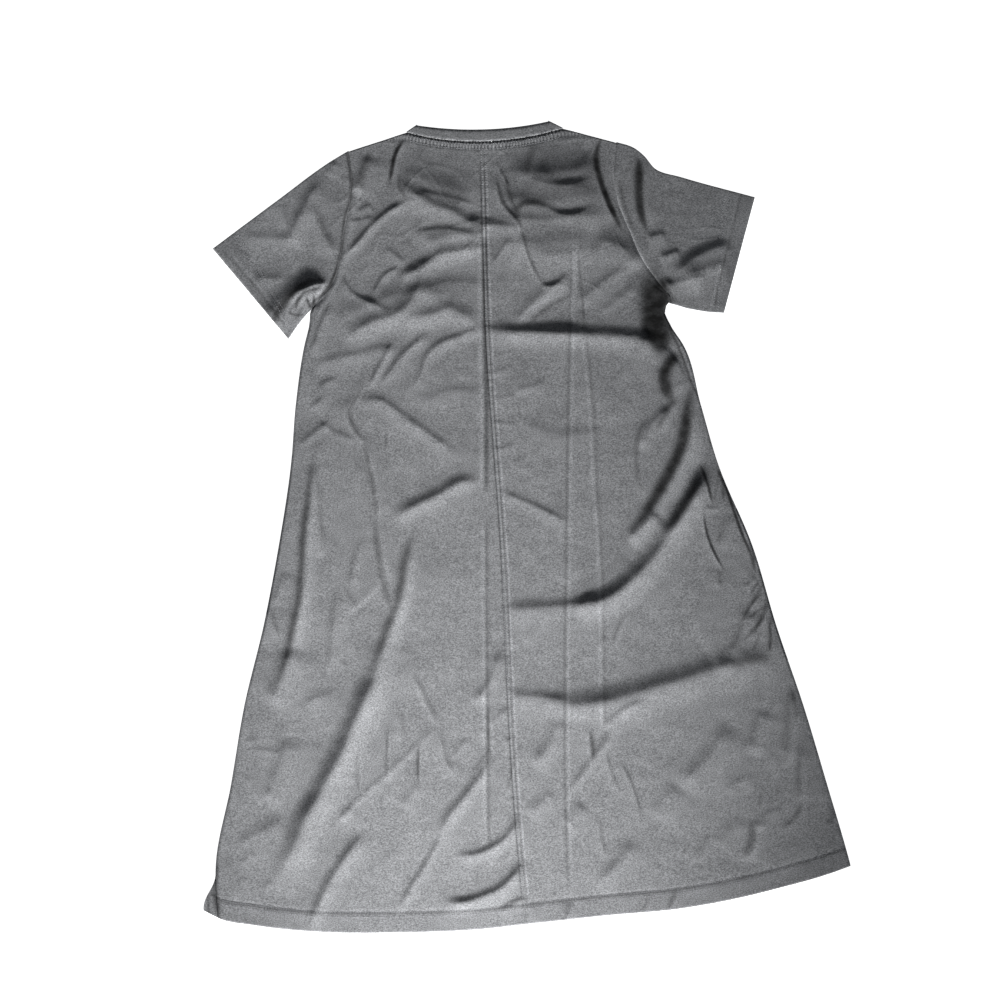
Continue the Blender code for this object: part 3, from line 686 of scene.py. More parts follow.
def nearest_on(line, places):
    """How far each place is from a line, positive on its left, and how far along it the nearest point is."""
    start, run = line[:-1], np.diff(line, axis=0)
    length = np.hypot(*run.T)
    away = places[:, None, :] - start
    part = np.clip((away * run).sum(-1) / length**2, 0, 1)
    offset = away - part[..., None] * run
    distance = np.hypot(offset[..., 0], offset[..., 1])
    rows, nearest = np.arange(len(places)), distance.argmin(1)
    near, run_here = offset[rows, nearest], run[nearest]
    side = np.where(run_here[:, 0] * near[:, 1] - run_here[:, 1] * near[:, 0] > 0, 1, -1)
    before = np.concatenate(([0], np.cumsum(length)))[nearest]
    return side * distance[rows, nearest], (before + part[rows, nearest] * length[nearest]) / length.sum()


def beside(points, reach, places):
    """Which places are within reach of a line in a table, how far they are from it in millimetres,
    positive on its left, and how far along it."""
    line = crest_line(points)
    near = np.all((places > line.min(0) - reach / 1000) & (places < line.max(0) + reach / 1000), axis=1)
    distance, along = nearest_on(line, places[near])
    return near, 1000 * distance, along


def faded_ends(along, taper):
    return soft(along / taper) * soft((1 - along) / taper)


def ridges(places):
    """What all the ridges raise together at each place."""
    total = np.zeros(len(places))
    for points, steep, gentle, height, _ in CREASES:
        near, distance, along = beside(points, FOOT_WIDTH * max(steep, gentle), places)
        share = abs(distance) / np.where(distance > 0, steep, gentle)
        profile = (1 - FOOT_SHARE) * ridge_profile(share, ROUND_CREST)
        profile += FOOT_SHARE * ridge_profile(share / FOOT_WIDTH, ROUND_FOOT)
        total[near] += height / 1000 * profile * faded_ends(along, END_TAPER)
    return total


middle_of_crest = crest_line(highest[0])
print("raised on the highest crest in mm:", round(1000 * ridges(middle_of_crest).max(), 1))

# %% [markdown]
# ## Painted lines of shade and light
# Along the seams, the pocket's mouth, the cuffs' stitching and the folds that were ironed in, a dark
# line and a light line are painted side by side: painted shade on one side and a painted highlight
# on the other. These lines run up and down, along the light, so their relief alone would hardly
# show. They could be painted on an image, but rows in a table are easier to move. Each row has a
# line's points in millimetres, its half width, and how dark it is painted on the left and how light
# on the right of someone who goes from the first point to the last.

# %% The table of painted lines of shade and light
PAINTED_LINES = (
    # painted shade and light along the centre seam and the folds that were ironed in
    (((0, -497), (-15, -323), (-30, -23), (-48, 227), (-56, 481)), 1.3, 0.62, 0.40),
    (((5, -497), (-10, -323), (-25, -23), (-43, 227), (-51, 481)), 1.3, 0.50, 0.45),
    (((-54, 366), (-54, 256), (-52, 158), (-52, 39)), 3.0, 0.62, 0.34),
    (((-51, 14), (-50, -200), (-48, -404)), 2.4, 0.36, 0.26),
    (((56, -467), (52, -342), (53, -17), (57, 221), (62, 377)), 2.2, 0.36, 0.28),
    (((72, 250), (83, 138), (87, 56), (92, -17), (97, -267)), 2.4, 0.26, 0.26),
    # painted shade and light along the rolled side seam below the right armpit and the mouth of the right
    # pocket
    (((234, 97), (223, 148), (208, 182), (194, 221), (178, 256)), 1.6, 0.60, 0.30),
    # painted shade and light on the cuffs, along their stitching
    (((-297, 249), (-321, 281), (-338, 303), (-358, 326), (-378, 347)), 1.6, 0.34, 0.26),
    (((268, 421), (257, 373), (244, 323), (233, 269)), 1.6, 0.38, 0.26),
    (((289, -57), (282, -32), (273, -11), (263, 18), (253, 46), (242, 73)), 1.9, 0.80, 0.45),
)
print(len(PAINTED_LINES), "pressed lines")

# %% [markdown]
# ## Painted shade in deep folds and painted light on rises
# Deep in a tight fold there is almost no light, as at the armpit and in the armhole's groove. Real
# shadows there need folds that overlap, and a grid that is moved up and down can't overlap. A
# painted dark band does the same for the eye, and a painted light band brightens sides that face
# the lamp more than the relief shows. Each row has a line's points in millimetres, its half width
# and its strength, below 0 for painted shade and above 0 for painted light.

# %% The table of painted bands of shade and light
PAINTED_BANDS = (
    # painted shade in the armholes' grooves and painted light beside them
    (((-294, 246), (-266, 279), (-246, 299), (-238, 318), (-231, 343), (-226, 384), (-219, 412),
      (-218, 434), (-223, 464), (-234, 533)), 1.9, -0.85),
    (((-258, 276), (-239, 296), (-231, 316), (-222, 343), (-216, 384), (-209, 412), (-208, 434),
      (-212, 458)), 5.0, 0.28),
    (((182, 291), (163, 304), (147, 332), (131, 371), (114, 414), (109, 453), (111, 476)), 1.9, 0.30),
    (((139, 358), (124, 398), (119, 421), (117, 443)), 3.2, -0.45),
    # painted shade in deep folds where no light gets in: beside the right armhole, the armpit and the hip,
    # with painted light on the lit side of the hip fold
    (((153, 358), (143, 408), (143, 446), (137, 471)), 4.2, -1.50),
    (((126, 358), (102, 409), (91, 439), (88, 462), (99, 496)), 3.5, -1.70),
    (((168, 206), (167, 233), (164, 261), (167, 286), (178, 318)), 13.8, -1.90),
    (((157, 331), (156, 283), (159, 252), (169, 221)), 12.5, -1.20),
    (((-209, 413), (-204, 439), (-194, 471)), 6.2, -0.50),
    (((188, 148), (177, 171), (176, 191), (191, 218)), 8.1, -1.10),
    (((138, 3), (162, 38), (178, 66), (193, 97), (199, 123), (202, 148), (211, 188)), 7.5, -0.75),
    (((178, 18), (193, 46), (208, 76), (216, 108), (218, 133)), 10.0, 0.34),
    (((176, -4), (201, 36), (218, 66), (228, 86)), 6.9, -0.55),
    (((-172, 421), (-167, 443), (-161, 469), (-149, 488)), 2.8, -0.90),
    # painted shade in broad hollows of the upper back and painted light on the sleeves, which face the lamp
    # more
    (((-26, 413), (43, 411), (101, 413)), 52.5, -0.26),
    (((-144, 428), (-107, 421), (-69, 416)), 32.5, -0.18),
    (((-362, 346), (-319, 377), (-274, 408)), 65.0, 0.20),
    (((206, 389), (237, 364), (243, 331)), 50.0, 0.16),
    # the painted shadow in the left vent and painted light on the front's edge beside it
    (((-381, -411), (-389, -442), (-386, -473), (-379, -498)), 3.8, -0.88),
    (((-393, -439), (-397, -461), (-396, -482), (-394, -504)), 1.5, -0.70),
    (((-396, -447), (-401, -464), (-403, -479), (-403, -498)), 3.0, 0.35),
    # painted shade and light along the edge of the right pocket's bag, painted shade on two short creases low
    # on the skirt, and painted light on the lit sides of the long left fold and the big diagonal
    (((252, -61), (238, -37), (229, -17), (224, 2), (223, 23)), 1.8, -0.75),
    (((234, 26), (227, 53), (218, 79)), 1.8, -0.70),
    (((243, 16), (238, 24), (241, 58), (233, 86)), 1.6, 0.35),
    (((246, 26), (246, 53), (238, 78)), 2.0, -0.60),
    (((83, -256), (87, -288)), 2.8, -0.40),
    (((-134, -274), (-134, -317)), 2.8, -0.30),
    (((-127, -23), (-142, -67), (-153, -107), (-169, -161), (-197, -232), (-234, -304),
      (-259, -352)), 11.2, 0.17),
    (((-259, 33), (-266, -42), (-272, -104), (-286, -167), (-297, -204)), 7.5, 0.14),
    # the upper back, right of the seam: painted shade and light along three short folds and a long narrow one
    (((-26, 443), (-22, 421), (-14, 398), (-4, 378)), 3.0, -0.50),
    (((-17, 386), (-4, 401), (13, 403), (33, 397)), 4.0, -0.55),
    (((-14, 248), (3, 268), (26, 284), (58, 299)), 3.0, 0.34),
    (((-3, 246), (13, 262), (33, 277), (61, 292)), 2.8, -0.45),
    (((57, 388), (59, 346), (58, 283), (56, 227)), 1.6, 0.45),
    (((64, 358), (68, 314), (72, 271), (73, 227)), 1.6, -0.45),
    # beside the hem: painted shade on the folds that end on the centre seam
    (((-34, -477), (-19, -469), (1, -462)), 3.0, -0.50),
    (((43, -499), (51, -484), (56, -467)), 2.8, -0.45),
    # painted shade and light on the fold below the left sleeve and the small ones at its armpit
    (((-324, 238), (-314, 257), (-303, 276), (-292, 289), (-277, 301), (-259, 307),
      (-239, 304)), 5.0, -1.10),
    (((-299, 261), (-292, 277), (-282, 289), (-268, 297), (-248, 301)), 3.0, 0.40),
    (((-287, 263), (-284, 281), (-277, 291), (-263, 296), (-244, 298)), 2.0, -0.95),
    (((-274, 288), (-271, 279), (-266, 269)), 1.8, -0.95),
    (((-264, 292), (-264, 282), (-267, 269)), 1.8, -0.90),
    (((-299, 268), (-288, 264), (-274, 264)), 1.9, -0.55),
    (((-262, 281), (-251, 291), (-243, 301), (-238, 314), (-233, 331)), 1.9, -0.75),
    (((-257, 278), (-246, 288), (-238, 298), (-233, 312), (-228, 328)), 2.0, 0.38),
    # painted shade and light on the gathers below the right pocket, its lower corner and the side fold
    (((277, -12), (283, -29), (288, -49)), 2.0, -0.95),
    (((272, -4), (279, -24), (286, -44)), 1.8, 0.40),
    (((294, -66), (287, -74), (279, -86)), 1.6, -0.75),
    (((299, -81), (289, -89), (278, -103)), 1.6, -0.75),
    (((303, -96), (289, -106), (273, -119)), 1.6, -0.70),
    (((302, -107), (286, -126), (268, -147)), 1.9, -0.65),
    (((303, -117), (306, -137), (302, -162)), 1.9, -0.60),
    (((296, -122), (289, -142), (281, -161)), 1.9, -0.50),
    (((251, -177), (274, -168), (313, -161)), 5.6, -0.50),
    (((329, -197), (336, -222), (338, -249)), 2.8, -0.42),
    (((303, -204), (297, -229), (287, -264)), 2.8, 0.22),
)
print(len(PAINTED_BANDS), "shaded bands,", sum(row[2] < 0 for row in PAINTED_BANDS), "of them dark")

# %% [markdown]
# ## Where the seams are
# Sewn places look different from plain cloth: a groove along the thread, and small gathers where a
# longer edge was eased onto a shorter one. Both the shape and the painted shade and light need to
# know how far a place is from a seam. Gathers and ripples are never even, so their wave is bent by
# a slower one.

# %% Distances from the seams
GATHER_SPACING, GATHER_SLOW = 0.0041, 0.013


def near_line(distance, width):
    """1 on a line, fading smoothly to 0 beside it."""
    return np.exp(-((distance / width) ** 2))


def uneven_wave(position, spacing, bend_by, slow):
    return np.sin(2 * np.pi * position / spacing + bend_by * np.sin(position / slow))


def gathers(across):
    """The small gathers that the neckband makes in the back."""
    return uneven_wave(across, GATHER_SPACING, 2, GATHER_SLOW)


def below_neckline(places):
    part = np.clip((places[:, 0] - LEFT_NECK[0]) / (RIGHT_NECK[0] - LEFT_NECK[0]), 0, 1)
    return back_neckline(part)[:, 1] - places[:, 1]


def above_hem(places):
    return places[:, 1] - hem_line(places[:, 0])


def from_side(places):
    """How far each place is inside the body's nearer edge."""
    across, height = places.T
    return np.minimum(across - left_edge(height), right_edge(height) - across)


print("gathers along the back of the neck:", round((RIGHT_NECK[0] - LEFT_NECK[0]) / GATHER_SPACING))

# %% [markdown]
# ## Adding up the painted shade and light
# The painted shade and light is one number for each point of a grid: how much lighter or darker the
# cloth's colour is painted there. It could be stored as a colour, but one number in an attribute is
# enough, and it follows the cloth wherever it goes. Tone that is added up could turn the cloth black
# or white, so the sum is squeezed by a hyperbolic tangent, which leaves small values alone and never
# passes its limit.

# %% Add up the painted shade and light
TONE_LIMIT = 0.95
LINE_ENDS, BAND_ENDS = 0.06, 0.3
# a ridge along the light: where its painted dark band and painted light band lie and how wide they
# are, as shares of its steep side, and how strong the painted light band is beside the dark one
DARK_PLACE, LIGHT_PLACE, SIDE_WIDTH, LIGHT_SHARE = 0.28, -0.38, 0.34, 0.35
# painted shade under the neckband, painted shade and light on the gathers below it, and painted light and
# shade on the two sides of the hem's stitching
NECK_SHADOW, NECK_SHADOW_WIDTH = 0.45, 0.0022
GATHER_SHADE_AND_LIGHT, GATHER_MIDDLE, GATHER_WIDTH = 0.25, 0.007, 0.004
HEM_LIGHT, HEM_LIGHT_PLACE, HEM_LIGHT_WIDTH = 0.18, 0.0022, 0.0016
HEM_SHADOW, HEM_SHADOW_PLACE, HEM_SHADOW_WIDTH = 0.38, -0.0006, 0.0014


def painted_line_tone(places):
    """Painted shade on the left of each painted line and painted light on its right."""
    total = np.zeros(len(places))
    for points, width, dark, light in PAINTED_LINES:
        near, distance, along = beside(points, 3 * width, places)
        away = distance / width
        sides = light * near_line(away + 1, 1) - dark * near_line(away - 1, 1)
        total[near] += sides * faded_ends(along, LINE_ENDS)
    return total


def painted_band_tone(places):
    """Painted shade and light: the bands, and the two sides of each ridge along the light."""
    bands = [(points, 0, width, strength) for points, width, strength in PAINTED_BANDS]
    # tone is how much painted shade a ridge along the light gets on its steep side; its gentle side gets
    # painted light
    for points, steep, _, _, tone in CREASES:
        if tone:
            bands.append((points, DARK_PLACE * steep, SIDE_WIDTH * steep, -tone))
            bands.append((points, LIGHT_PLACE * steep, SIDE_WIDTH * steep, LIGHT_SHARE * tone))
    total = np.zeros(len(places))
    for points, side, width, strength in bands:
        near, distance, along = beside(points, abs(side) + 3 * width, places)
        ends = faded_ends(along, BAND_ENDS)
        total[near] += strength * ends * near_line((distance - side) / width / (0.5 + 0.5 * ends), 1)
    return total


def painted_seam_tone(places):
    """Painted shade under the neckband, and painted shade and light on its gathers and beside the hem's
    stitching.
    """
    below, above = below_neckline(places), above_hem(places) - HEM_DEPTH
    total = GATHER_SHADE_AND_LIGHT * gathers(places[:, 0]) * near_line(below - GATHER_MIDDLE, GATHER_WIDTH)
    total -= NECK_SHADOW * near_line(below, NECK_SHADOW_WIDTH)
    total += HEM_LIGHT * near_line(above - HEM_LIGHT_PLACE, HEM_LIGHT_WIDTH)
    return total - HEM_SHADOW * near_line(above - HEM_SHADOW_PLACE, HEM_SHADOW_WIDTH)


# all the painted shade and light, added up and squeezed
def painted_tone(places):
    total = painted_line_tone(places) + painted_band_tone(places) + painted_seam_tone(places)
    return TONE_LIMIT * np.tanh(total / TONE_LIMIT)


armpit_fold = np.array([(0.168, 0.250)])
print("tone in the fold at the right armpit:", round(float(painted_tone(armpit_fold)[0]), 2))

# %% [markdown]
# ## The relief of the upper layer
# Between the creases the cloth is never quite flat. A displacement texture could roughen it, but
# the stitches need the same heights, so the relief is a function too. Two layers of smooth noise
# make wide, shallow waves and a fine crumple, and a third one makes sharp little wrinkles. Over a
# pocket bag the back lies a little higher.

# %% The relief of the upper layer
WAVE_SIZE, WAVE_HEIGHT = 0.045, 0.0008
CRUMPLE_SIZE, CRUMPLE_HEIGHT = 0.016, 0.0003
WRINKLE_SIZE, WRINKLE_HEIGHT, WRINKLE_SHARPNESS = 0.045, 0.0003, 0.16
DRIFT_SIZE, DRIFT = 0.05, 0.02
SIDE_SETTLE = 0.012
ARMPIT_SETTLE = 0.050
BAG_LIFT, BAG_SETTLE, END_SETTLE = 0.0011, 0.014, 0.045


def smooth_noise(places, size, seed):
    return np.array([noise.noise(Vector((x / size, y / size, seed))) for x, y in places])


def over_bag(side, inwards, height):
    """How far a pocket bag raises the back above it, a distance inwards from its side seam."""
    rows = np.array(side.bag)
    bottom, top = rows[0, 0], rows[-1, 0]
    width = smooth_curve(rows[:, 0], rows[:, 1])(np.clip(height, bottom, top))
    beyond_end = np.maximum(np.maximum(height - top, bottom - height), 0)
    beyond_width = np.maximum(inwards - width, 0)
    return BAG_LIFT * (1 - soft(beyond_end / END_SETTLE)) * (1 - soft(beyond_width / BAG_SETTLE))


def wrinkles(places):
    """Small, sharp wrinkles along the zero lines of a noise that is itself bent by noise. They come
    in patches, and more of them above the waist."""
    drift = np.column_stack((smooth_noise(places, DRIFT_SIZE, 21.5), smooth_noise(places, DRIFT_SIZE, 33.5)))
    line = smooth_noise((places + DRIFT * drift) * (1, 1.5), WRINKLE_SIZE, 4.5)
    here = soft(2.5 * smooth_noise(places, 0.06, 61.5) + 0.35)
    more_above = 0.35 + 0.65 * soft((places[:, 1] - 0.10) / 0.25)
    return WRINKLE_HEIGHT * np.clip(1 - abs(line) / WRINKLE_SHARPNESS, 0, 1) ** 2 * here * more_above


def relief(places):
    """How far the upper layer stands above where it would lie if it were pressed flat."""
    across, height = places.T
    from_left, from_right = across - left_edge(height), right_edge(height) - across
    off_sides = soft(np.minimum(abs(from_left), abs(from_right)) / SIDE_SETTLE)
    above_armpit = soft((height - LEFT.uprights[1]) / ARMPIT_SETTLE)
    raised = ridges(places) * np.maximum(off_sides, above_armpit)
    waves = WAVE_HEIGHT * smooth_noise(places, WAVE_SIZE, 1.5)
    waves += CRUMPLE_HEIGHT * smooth_noise(places, CRUMPLE_SIZE, 7.5) + wrinkles(places)
    bags = over_bag(LEFT, from_left, height) + over_bag(RIGHT, from_right, height)
    return np.maximum(raised + waves + bags, DEEPEST)


print("relief on the highest crest in mm:", round(1000 * relief(middle_of_crest).max(), 1))

# %% [markdown]
# ## What the seams add
# Seams pull the cloth in. Along the centre and the armholes there is a groove with a ripple from
# each stitch, below the neckband the back is rolled and gathered, and the hem is a double layer up
# to its stitching. Each of these could be a piece of its own, but on the real dress it is the same cloth,
# so each is a small change of the same surface.

# %% What the seams of the back add
SEAM_GROOVE, SEAM_GROOVE_WIDTH = 0.0004, 0.0012
RIPPLE, SEAM_RIPPLE_WIDTH = 0.00012, 0.007
NECK_GROOVE, NECK_GROOVE_WIDTH = 0.0005, 0.0015
NECK_ROLL, NECK_ROLL_TOP, NECK_ROLL_WIDTH = 0.00020, 0.004, 0.0095
GATHER_HEIGHT = 0.0009
HEM_STEP, HEM_GROOVE, HEM_GROOVE_WIDTH = 0.0005, 0.0003, 0.0025
ARMHOLE_GROOVE, ARMHOLE_GROOVE_WIDTH, ARMHOLE_FOOT = 0.0007, 0.003, 0.285


def neck_relief(places):
    below = below_neckline(places)
    rolled = soft(below / 0.001) * (1 - soft((below - 0.010) / 0.007))
    gathered = soft((below - 0.0015) / 0.003) * (1 - soft((below - 0.003) / 0.007))
    total = NECK_ROLL * np.cos(2 * np.pi * (below - NECK_ROLL_TOP) / NECK_ROLL_WIDTH) * rolled
    total += GATHER_HEIGHT * gathers(places[:, 0]) * gathered
    return total - NECK_GROOVE * near_line(below, NECK_GROOVE_WIDTH)


def hem_relief(places):
    above = above_hem(places) - HEM_DEPTH
    ripple = uneven_wave(places[:, 0], 0.0075, 3, 0.019)
    doubled = 1 - soft((above + 0.001) / 0.002)
    return HEM_STEP * doubled + (RIPPLE * ripple - HEM_GROOVE) * near_line(above, HEM_GROOVE_WIDTH)


def sewn(places):
    """What the seams of the back add to the relief."""
    across, height = places.T
    from_seam = across - seam_line(height)
    total = RIPPLE * uneven_wave(height, 0.009, 3, 0.021) * near_line(from_seam, SEAM_RIPPLE_WIDTH)
    total -= SEAM_GROOVE * near_line(from_seam, SEAM_GROOVE_WIDTH)
    total += neck_relief(places) + hem_relief(places)
    at_armhole = soft((height - ARMHOLE_FOOT) / 0.01)
    return total - ARMHOLE_GROOVE * near_line(from_side(places), ARMHOLE_GROOVE_WIDTH) * at_armhole


def back_skin(places):
    return BACK_SKIN + np.maximum(relief(places) + sewn(places), DEEPEST)


on_seam = np.array([(float(seam_line(-0.3)), -0.3)])
print("centre seam above the table in mm:", round(1000 * float(back_skin(on_seam)[0]), 2))

# %% [markdown]
# ## Making a piece of cloth
# Cloth is a sheet that is much thinner than it is wide. It could be cut from a box, but a flat grid
# with the Solidify modifier keeps its thickness even wherever it bends. We move the grid's points
# to their places, which is called deforming the mesh. A sleeve or the neckband is a flattened
# tube: its grid is closed where the first and the last column meet. The painted shade and light is
# stored on the points of the front, the back halves and the sleeves.

# %% The cloth maker
def make_cloth(name, columns, rows, place, closed=False, rim_only=False, painted_shading=False):
    """place(along, up) gives the outer skin for arrays of parts from 0 to 1."""
    shape = bmesh.new()
    bmesh.ops.create_grid(shape, x_segments=columns, y_segments=rows, size=0.5)
    parts = np.array([vert.co[:2] for vert in shape.verts]) + 0.5
    for vert, point in zip(shape.verts, place(*parts.T)):
        vert.co = point
    if closed:
        bmesh.ops.remove_doubles(shape, verts=shape.verts[:], dist=1e-6)
    shape.normal_update()
    highest = max(shape.faces, key=lambda face: face.calc_center_median().z * abs(face.normal.z))
    if highest.normal.z < 0:
        bmesh.ops.reverse_faces(shape, faces=shape.faces[:])
    mesh = bpy.data.meshes.new(name)
    shape.to_mesh(mesh)
    shape.free()
    mesh.polygons.foreach_set("use_smooth", [True] * len(mesh.polygons))
    mesh.materials.append(jersey)
    # store the painted shade and light on the points, where the jersey's colour reads it
    if painted_shading:
        places = np.array([vert.co[:2] for vert in mesh.vertices])
        mesh.attributes.new("painted_shade_and_light", "FLOAT", "POINT").data.foreach_set("value", painted_tone(places))
    cloth = bpy.data.objects.new(name, mesh)
    wall = cloth.modifiers.new("thickness", "SOLIDIFY")
    wall.thickness = CLOTH
    wall.offset = -1
    wall.use_rim_only = rim_only
    bpy.context.scene.collection.objects.link(cloth)
    print(name, "has", len(mesh.polygons), "faces")
    return cloth


def declare(cloth, node):
    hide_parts(node)
    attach(cloth, "root")


print("cloth is", 1000 * CLOTH, "mm thick")

# %% [markdown]
# ## The front
# The front lies face down on the table, under everything. Only its left corner shows, beside the
# open vent, and a sliver along the right side. It is one sheet between four edges. Its neck is
# scooped out, so its top edge is joined from a shoulder, the scoop and the other shoulder. A grid
# that is finest at the left corner spends its faces where they show.

# %% Front
VENT_FLARE, VENT_HEIGHT = (-0.018, 0.009), 0.055
CORNER_FINENESS = 1.5

left_side, right_side = upright_edge(LEFT.edge, LEFT.uprights), upright_edge(RIGHT.edge, RIGHT.uprights)


def flared_side(up):
    """The left side, which swings out below the vent."""
    point = left_side(up)
    below_vent = 1 - soft((point[..., 1] - LEFT.uprights[0]) / VENT_HEIGHT)
    return point + np.array(VENT_FLARE) * below_vent[..., None]


front_top = joined((16, line_to(left_side(1), LEFT_NECK)), (84, scoop),
                   (16, line_to(RIGHT_NECK, right_side(1))))
front_panel = patch(flared_side, right_side, hem_edge(flared_side(0)[0], right_side(0)[0]), front_top)


def place_front(along, up):
    places = front_panel(along**CORNER_FINENESS, up**CORNER_FINENESS)
    return np.column_stack((places, np.full(len(places), FRONT_SKIN)))


front = make_cloth("front_panel", 116, 140, place_front, painted_shading=True)
declare(front, "front")

# %% [markdown]
# ## The back
# The back is two halves that are sewn together along the middle. This is the cloth that the camera
# sees, so it has the finest grid, finer still towards both sides, where the seams are. Subdivision
# would round the small gathers away, so the grid is fine from the start. The inside can't be seen,
# so Solidify adds only the cut edge all round. Along its sides the back curls down to the front.

# %% Back halves
EDGE_CURL = 0.003
CURL_TOP = 0.270
SIDE_FINENESS = 0.35


def finer_at_edges(along):
    """Moves the columns towards both sides of a panel."""
    return along - SIDE_FINENESS * np.sin(2 * np.pi * along) / (2 * np.pi)


def place_back(panel):
    def place(along, up):
        places = panel(finer_at_edges(along), up)
        curl = (1 - soft(from_side(places) / EDGE_CURL)) * (1 - soft((places[:, 1] - CURL_TOP) / 0.01))
        return np.column_stack((places, between(back_skin(places), FRONT_SKIN + 0.0008, curl)))

    return place


def add_back(side):
    outer, inner = upright_edge(side.edge, side.uprights), upright_edge(seam_line, SEAM_UPRIGHTS)
    to_middle = inner(1) - back_neckline(0.5)

    def neckline(part):
        """Half of the neckline, from this side's neck point, which ends on the seam."""
        return back_neckline(between(0.5 + 0.5 * side.outward, 0.5, part)) + mix((0, 0), to_middle, part)

    top = joined((66, line_to(outer(1), side.neck)), (134, neckline))
    panel = patch(outer, inner, hem_edge(outer(0)[0], inner(0)[0]), top)
    back = make_cloth("back_panel_" + side.name, 200, 480, place_back(panel), rim_only=True, painted_shading=True)
    declare(back, "back_" + side.name)


add_back(LEFT)
add_back(RIGHT)

# %% [markdown]
# ## Flattened tubes
# A sleeve and the neckband are tubes that lie flat: an upper layer, a round turn, a lower layer and
# a second turn. A cylinder that is squashed would pinch at its edges. Instead each column of the
# grid gets a part across the tube and an angle round the turn, so the layers stay even and the
# turns stay round.

# %% Flattened tubes
UNDERSIDE = 0.0001


def ring_parts(along, layer_steps, under_steps, turn_steps):
    """Where each column of a flattened tube is: the part across the tube, and the angle round its
    edges, which is 0 on the upper layer and pi on the lower one."""
    around = layer_steps + under_steps + 2 * turn_steps
    step = np.round(along * around) % around
    knots = np.cumsum((0, layer_steps, turn_steps, under_steps, turn_steps))
    return np.interp(step, knots, (0, 1, 1, 0, 0)), np.interp(step, knots, (0, 0, math.pi, math.pi, 0))


def edge_turn(part, turn):
    """Which way an edge of the tube is: -1 at the first, 1 at the second, 0 between them."""
    return np.where((turn > 0) & (turn < math.pi), np.where(part > 0.5, 1, -1), 0)


def fold_height(top, turn):
    """The height of a folded tube's skin: its top on the upper layer, down to just above the table."""
    return UNDERSIDE + (top - UNDERSIDE) * (0.5 + 0.5 * np.cos(turn))


part, turn = ring_parts(np.linspace(0, 1, 9), 2, 2, 2)
print("round a tube of eight steps:", [round(math.degrees(angle)) for angle in turn])

# %% [markdown]
# ## The sleeves
# A sleeve is a short tube, set into the armhole and pressed flat. Its edges over and under the arm
# follow the points of its side's record. The cuff is turned in and stitched, so the cloth is a
# little thicker up to the stitching and dips along it.

# %% Sleeves
LAYER_STEPS, TURN_STEPS, SLEEVE_RINGS = 96, 8, 70
SLEEVE_LENGTH = 0.14
CUFF_DEPTH, CUFF_STEP, CUFF_GROOVE, CUFF_GROOVE_WIDTH = 0.021, 0.0003, 0.0002, 0.003


def sleeve_skin(places):
    return BACK_SKIN + relief(places)


def add_sleeve(side):
    def armhole(part):
        """The armhole edge from the armpit to the shoulder tip."""
        height = between(side.uprights[1], side.uprights[2], part)
        return np.stack((side.edge(height), height), -1)

    outs = [0.0] + [row[0] for row in side.sleeve]
    over = smooth_curve(outs, [armhole(1)] + [row[1] for row in side.sleeve])
    under = smooth_curve(outs, [armhole(0)] + [row[2] for row in side.sleeve])
    layer = patch(armhole, line_to(under(1), over(1)), under, over)

    def place(along, out):
        part, turn = ring_parts(along, LAYER_STEPS, LAYER_STEPS, TURN_STEPS)
        places = layer(out, part)
        outwards = places - layer(out, np.full(len(out), 0.5))
        outwards = outwards / np.maximum(np.hypot(*outwards.T), 1e-9)[:, None]
        from_cuff = (1 - out) * SLEEVE_LENGTH
        top = sleeve_skin(places)
        top += CUFF_STEP * (1 - soft((from_cuff - CUFF_DEPTH + 0.001) / 0.002))
        top -= CUFF_GROOVE * near_line(from_cuff - CUFF_DEPTH, CUFF_GROOVE_WIDTH)
        top -= ARMHOLE_GROOVE * near_line(out * SLEEVE_LENGTH, ARMHOLE_GROOVE_WIDTH)
        reach = abs(edge_turn(part, turn)) * np.sin(turn) * BACK_SKIN / 2
        return np.column_stack((places + outwards * reach[:, None], fold_height(top, turn)))

    around = 2 * (LAYER_STEPS + TURN_STEPS)
    sleeve = make_cloth("sleeve_cloth_" + side.name, around, SLEEVE_RINGS, place, closed=True, painted_shading=True)
    declare(sleeve, "sleeve_" + side.name)
    return layer


left_layer = add_sleeve(LEFT)
right_layer = add_sleeve(RIGHT)

# %% [markdown]
# ## The neckband
# The neckband is a narrow strip of the same jersey, folded along its free edge and sewn all round
# the neck. A torus would stand up like a collar. On the table the band lies flat, so it is one more
# flattened tube: a part along the back's neckline and a part below it in the scoop.

# %% Neckband
BAND_COLUMNS, SCOOP_COLUMNS, BAND_TURN, BAND_ROWS = 240, 120, 8, 8
BAND_FOLD, BAND_SEAM = 0.0009, 0.0004  # how far the band drops at its fold and at its seam


def back_strip(part, out):
    free = bend(LEFT_BAND_END, (NECKLINE_MIDDLE[0], NECKLINE_MIDDLE[1] + BAND_WIDTH), RIGHT_BAND_END, part)
    return mix(back_neckline(part), free, out)


def front_strip(part, out):
    at_end = ((part < 1e-6) | (part > 1 - 1e-6))[:, None]
    free = np.where(at_end, back_strip(np.round(part), np.ones(len(part))), scoop(part, BAND_WIDTH))
    return mix(scoop(part), free, out)


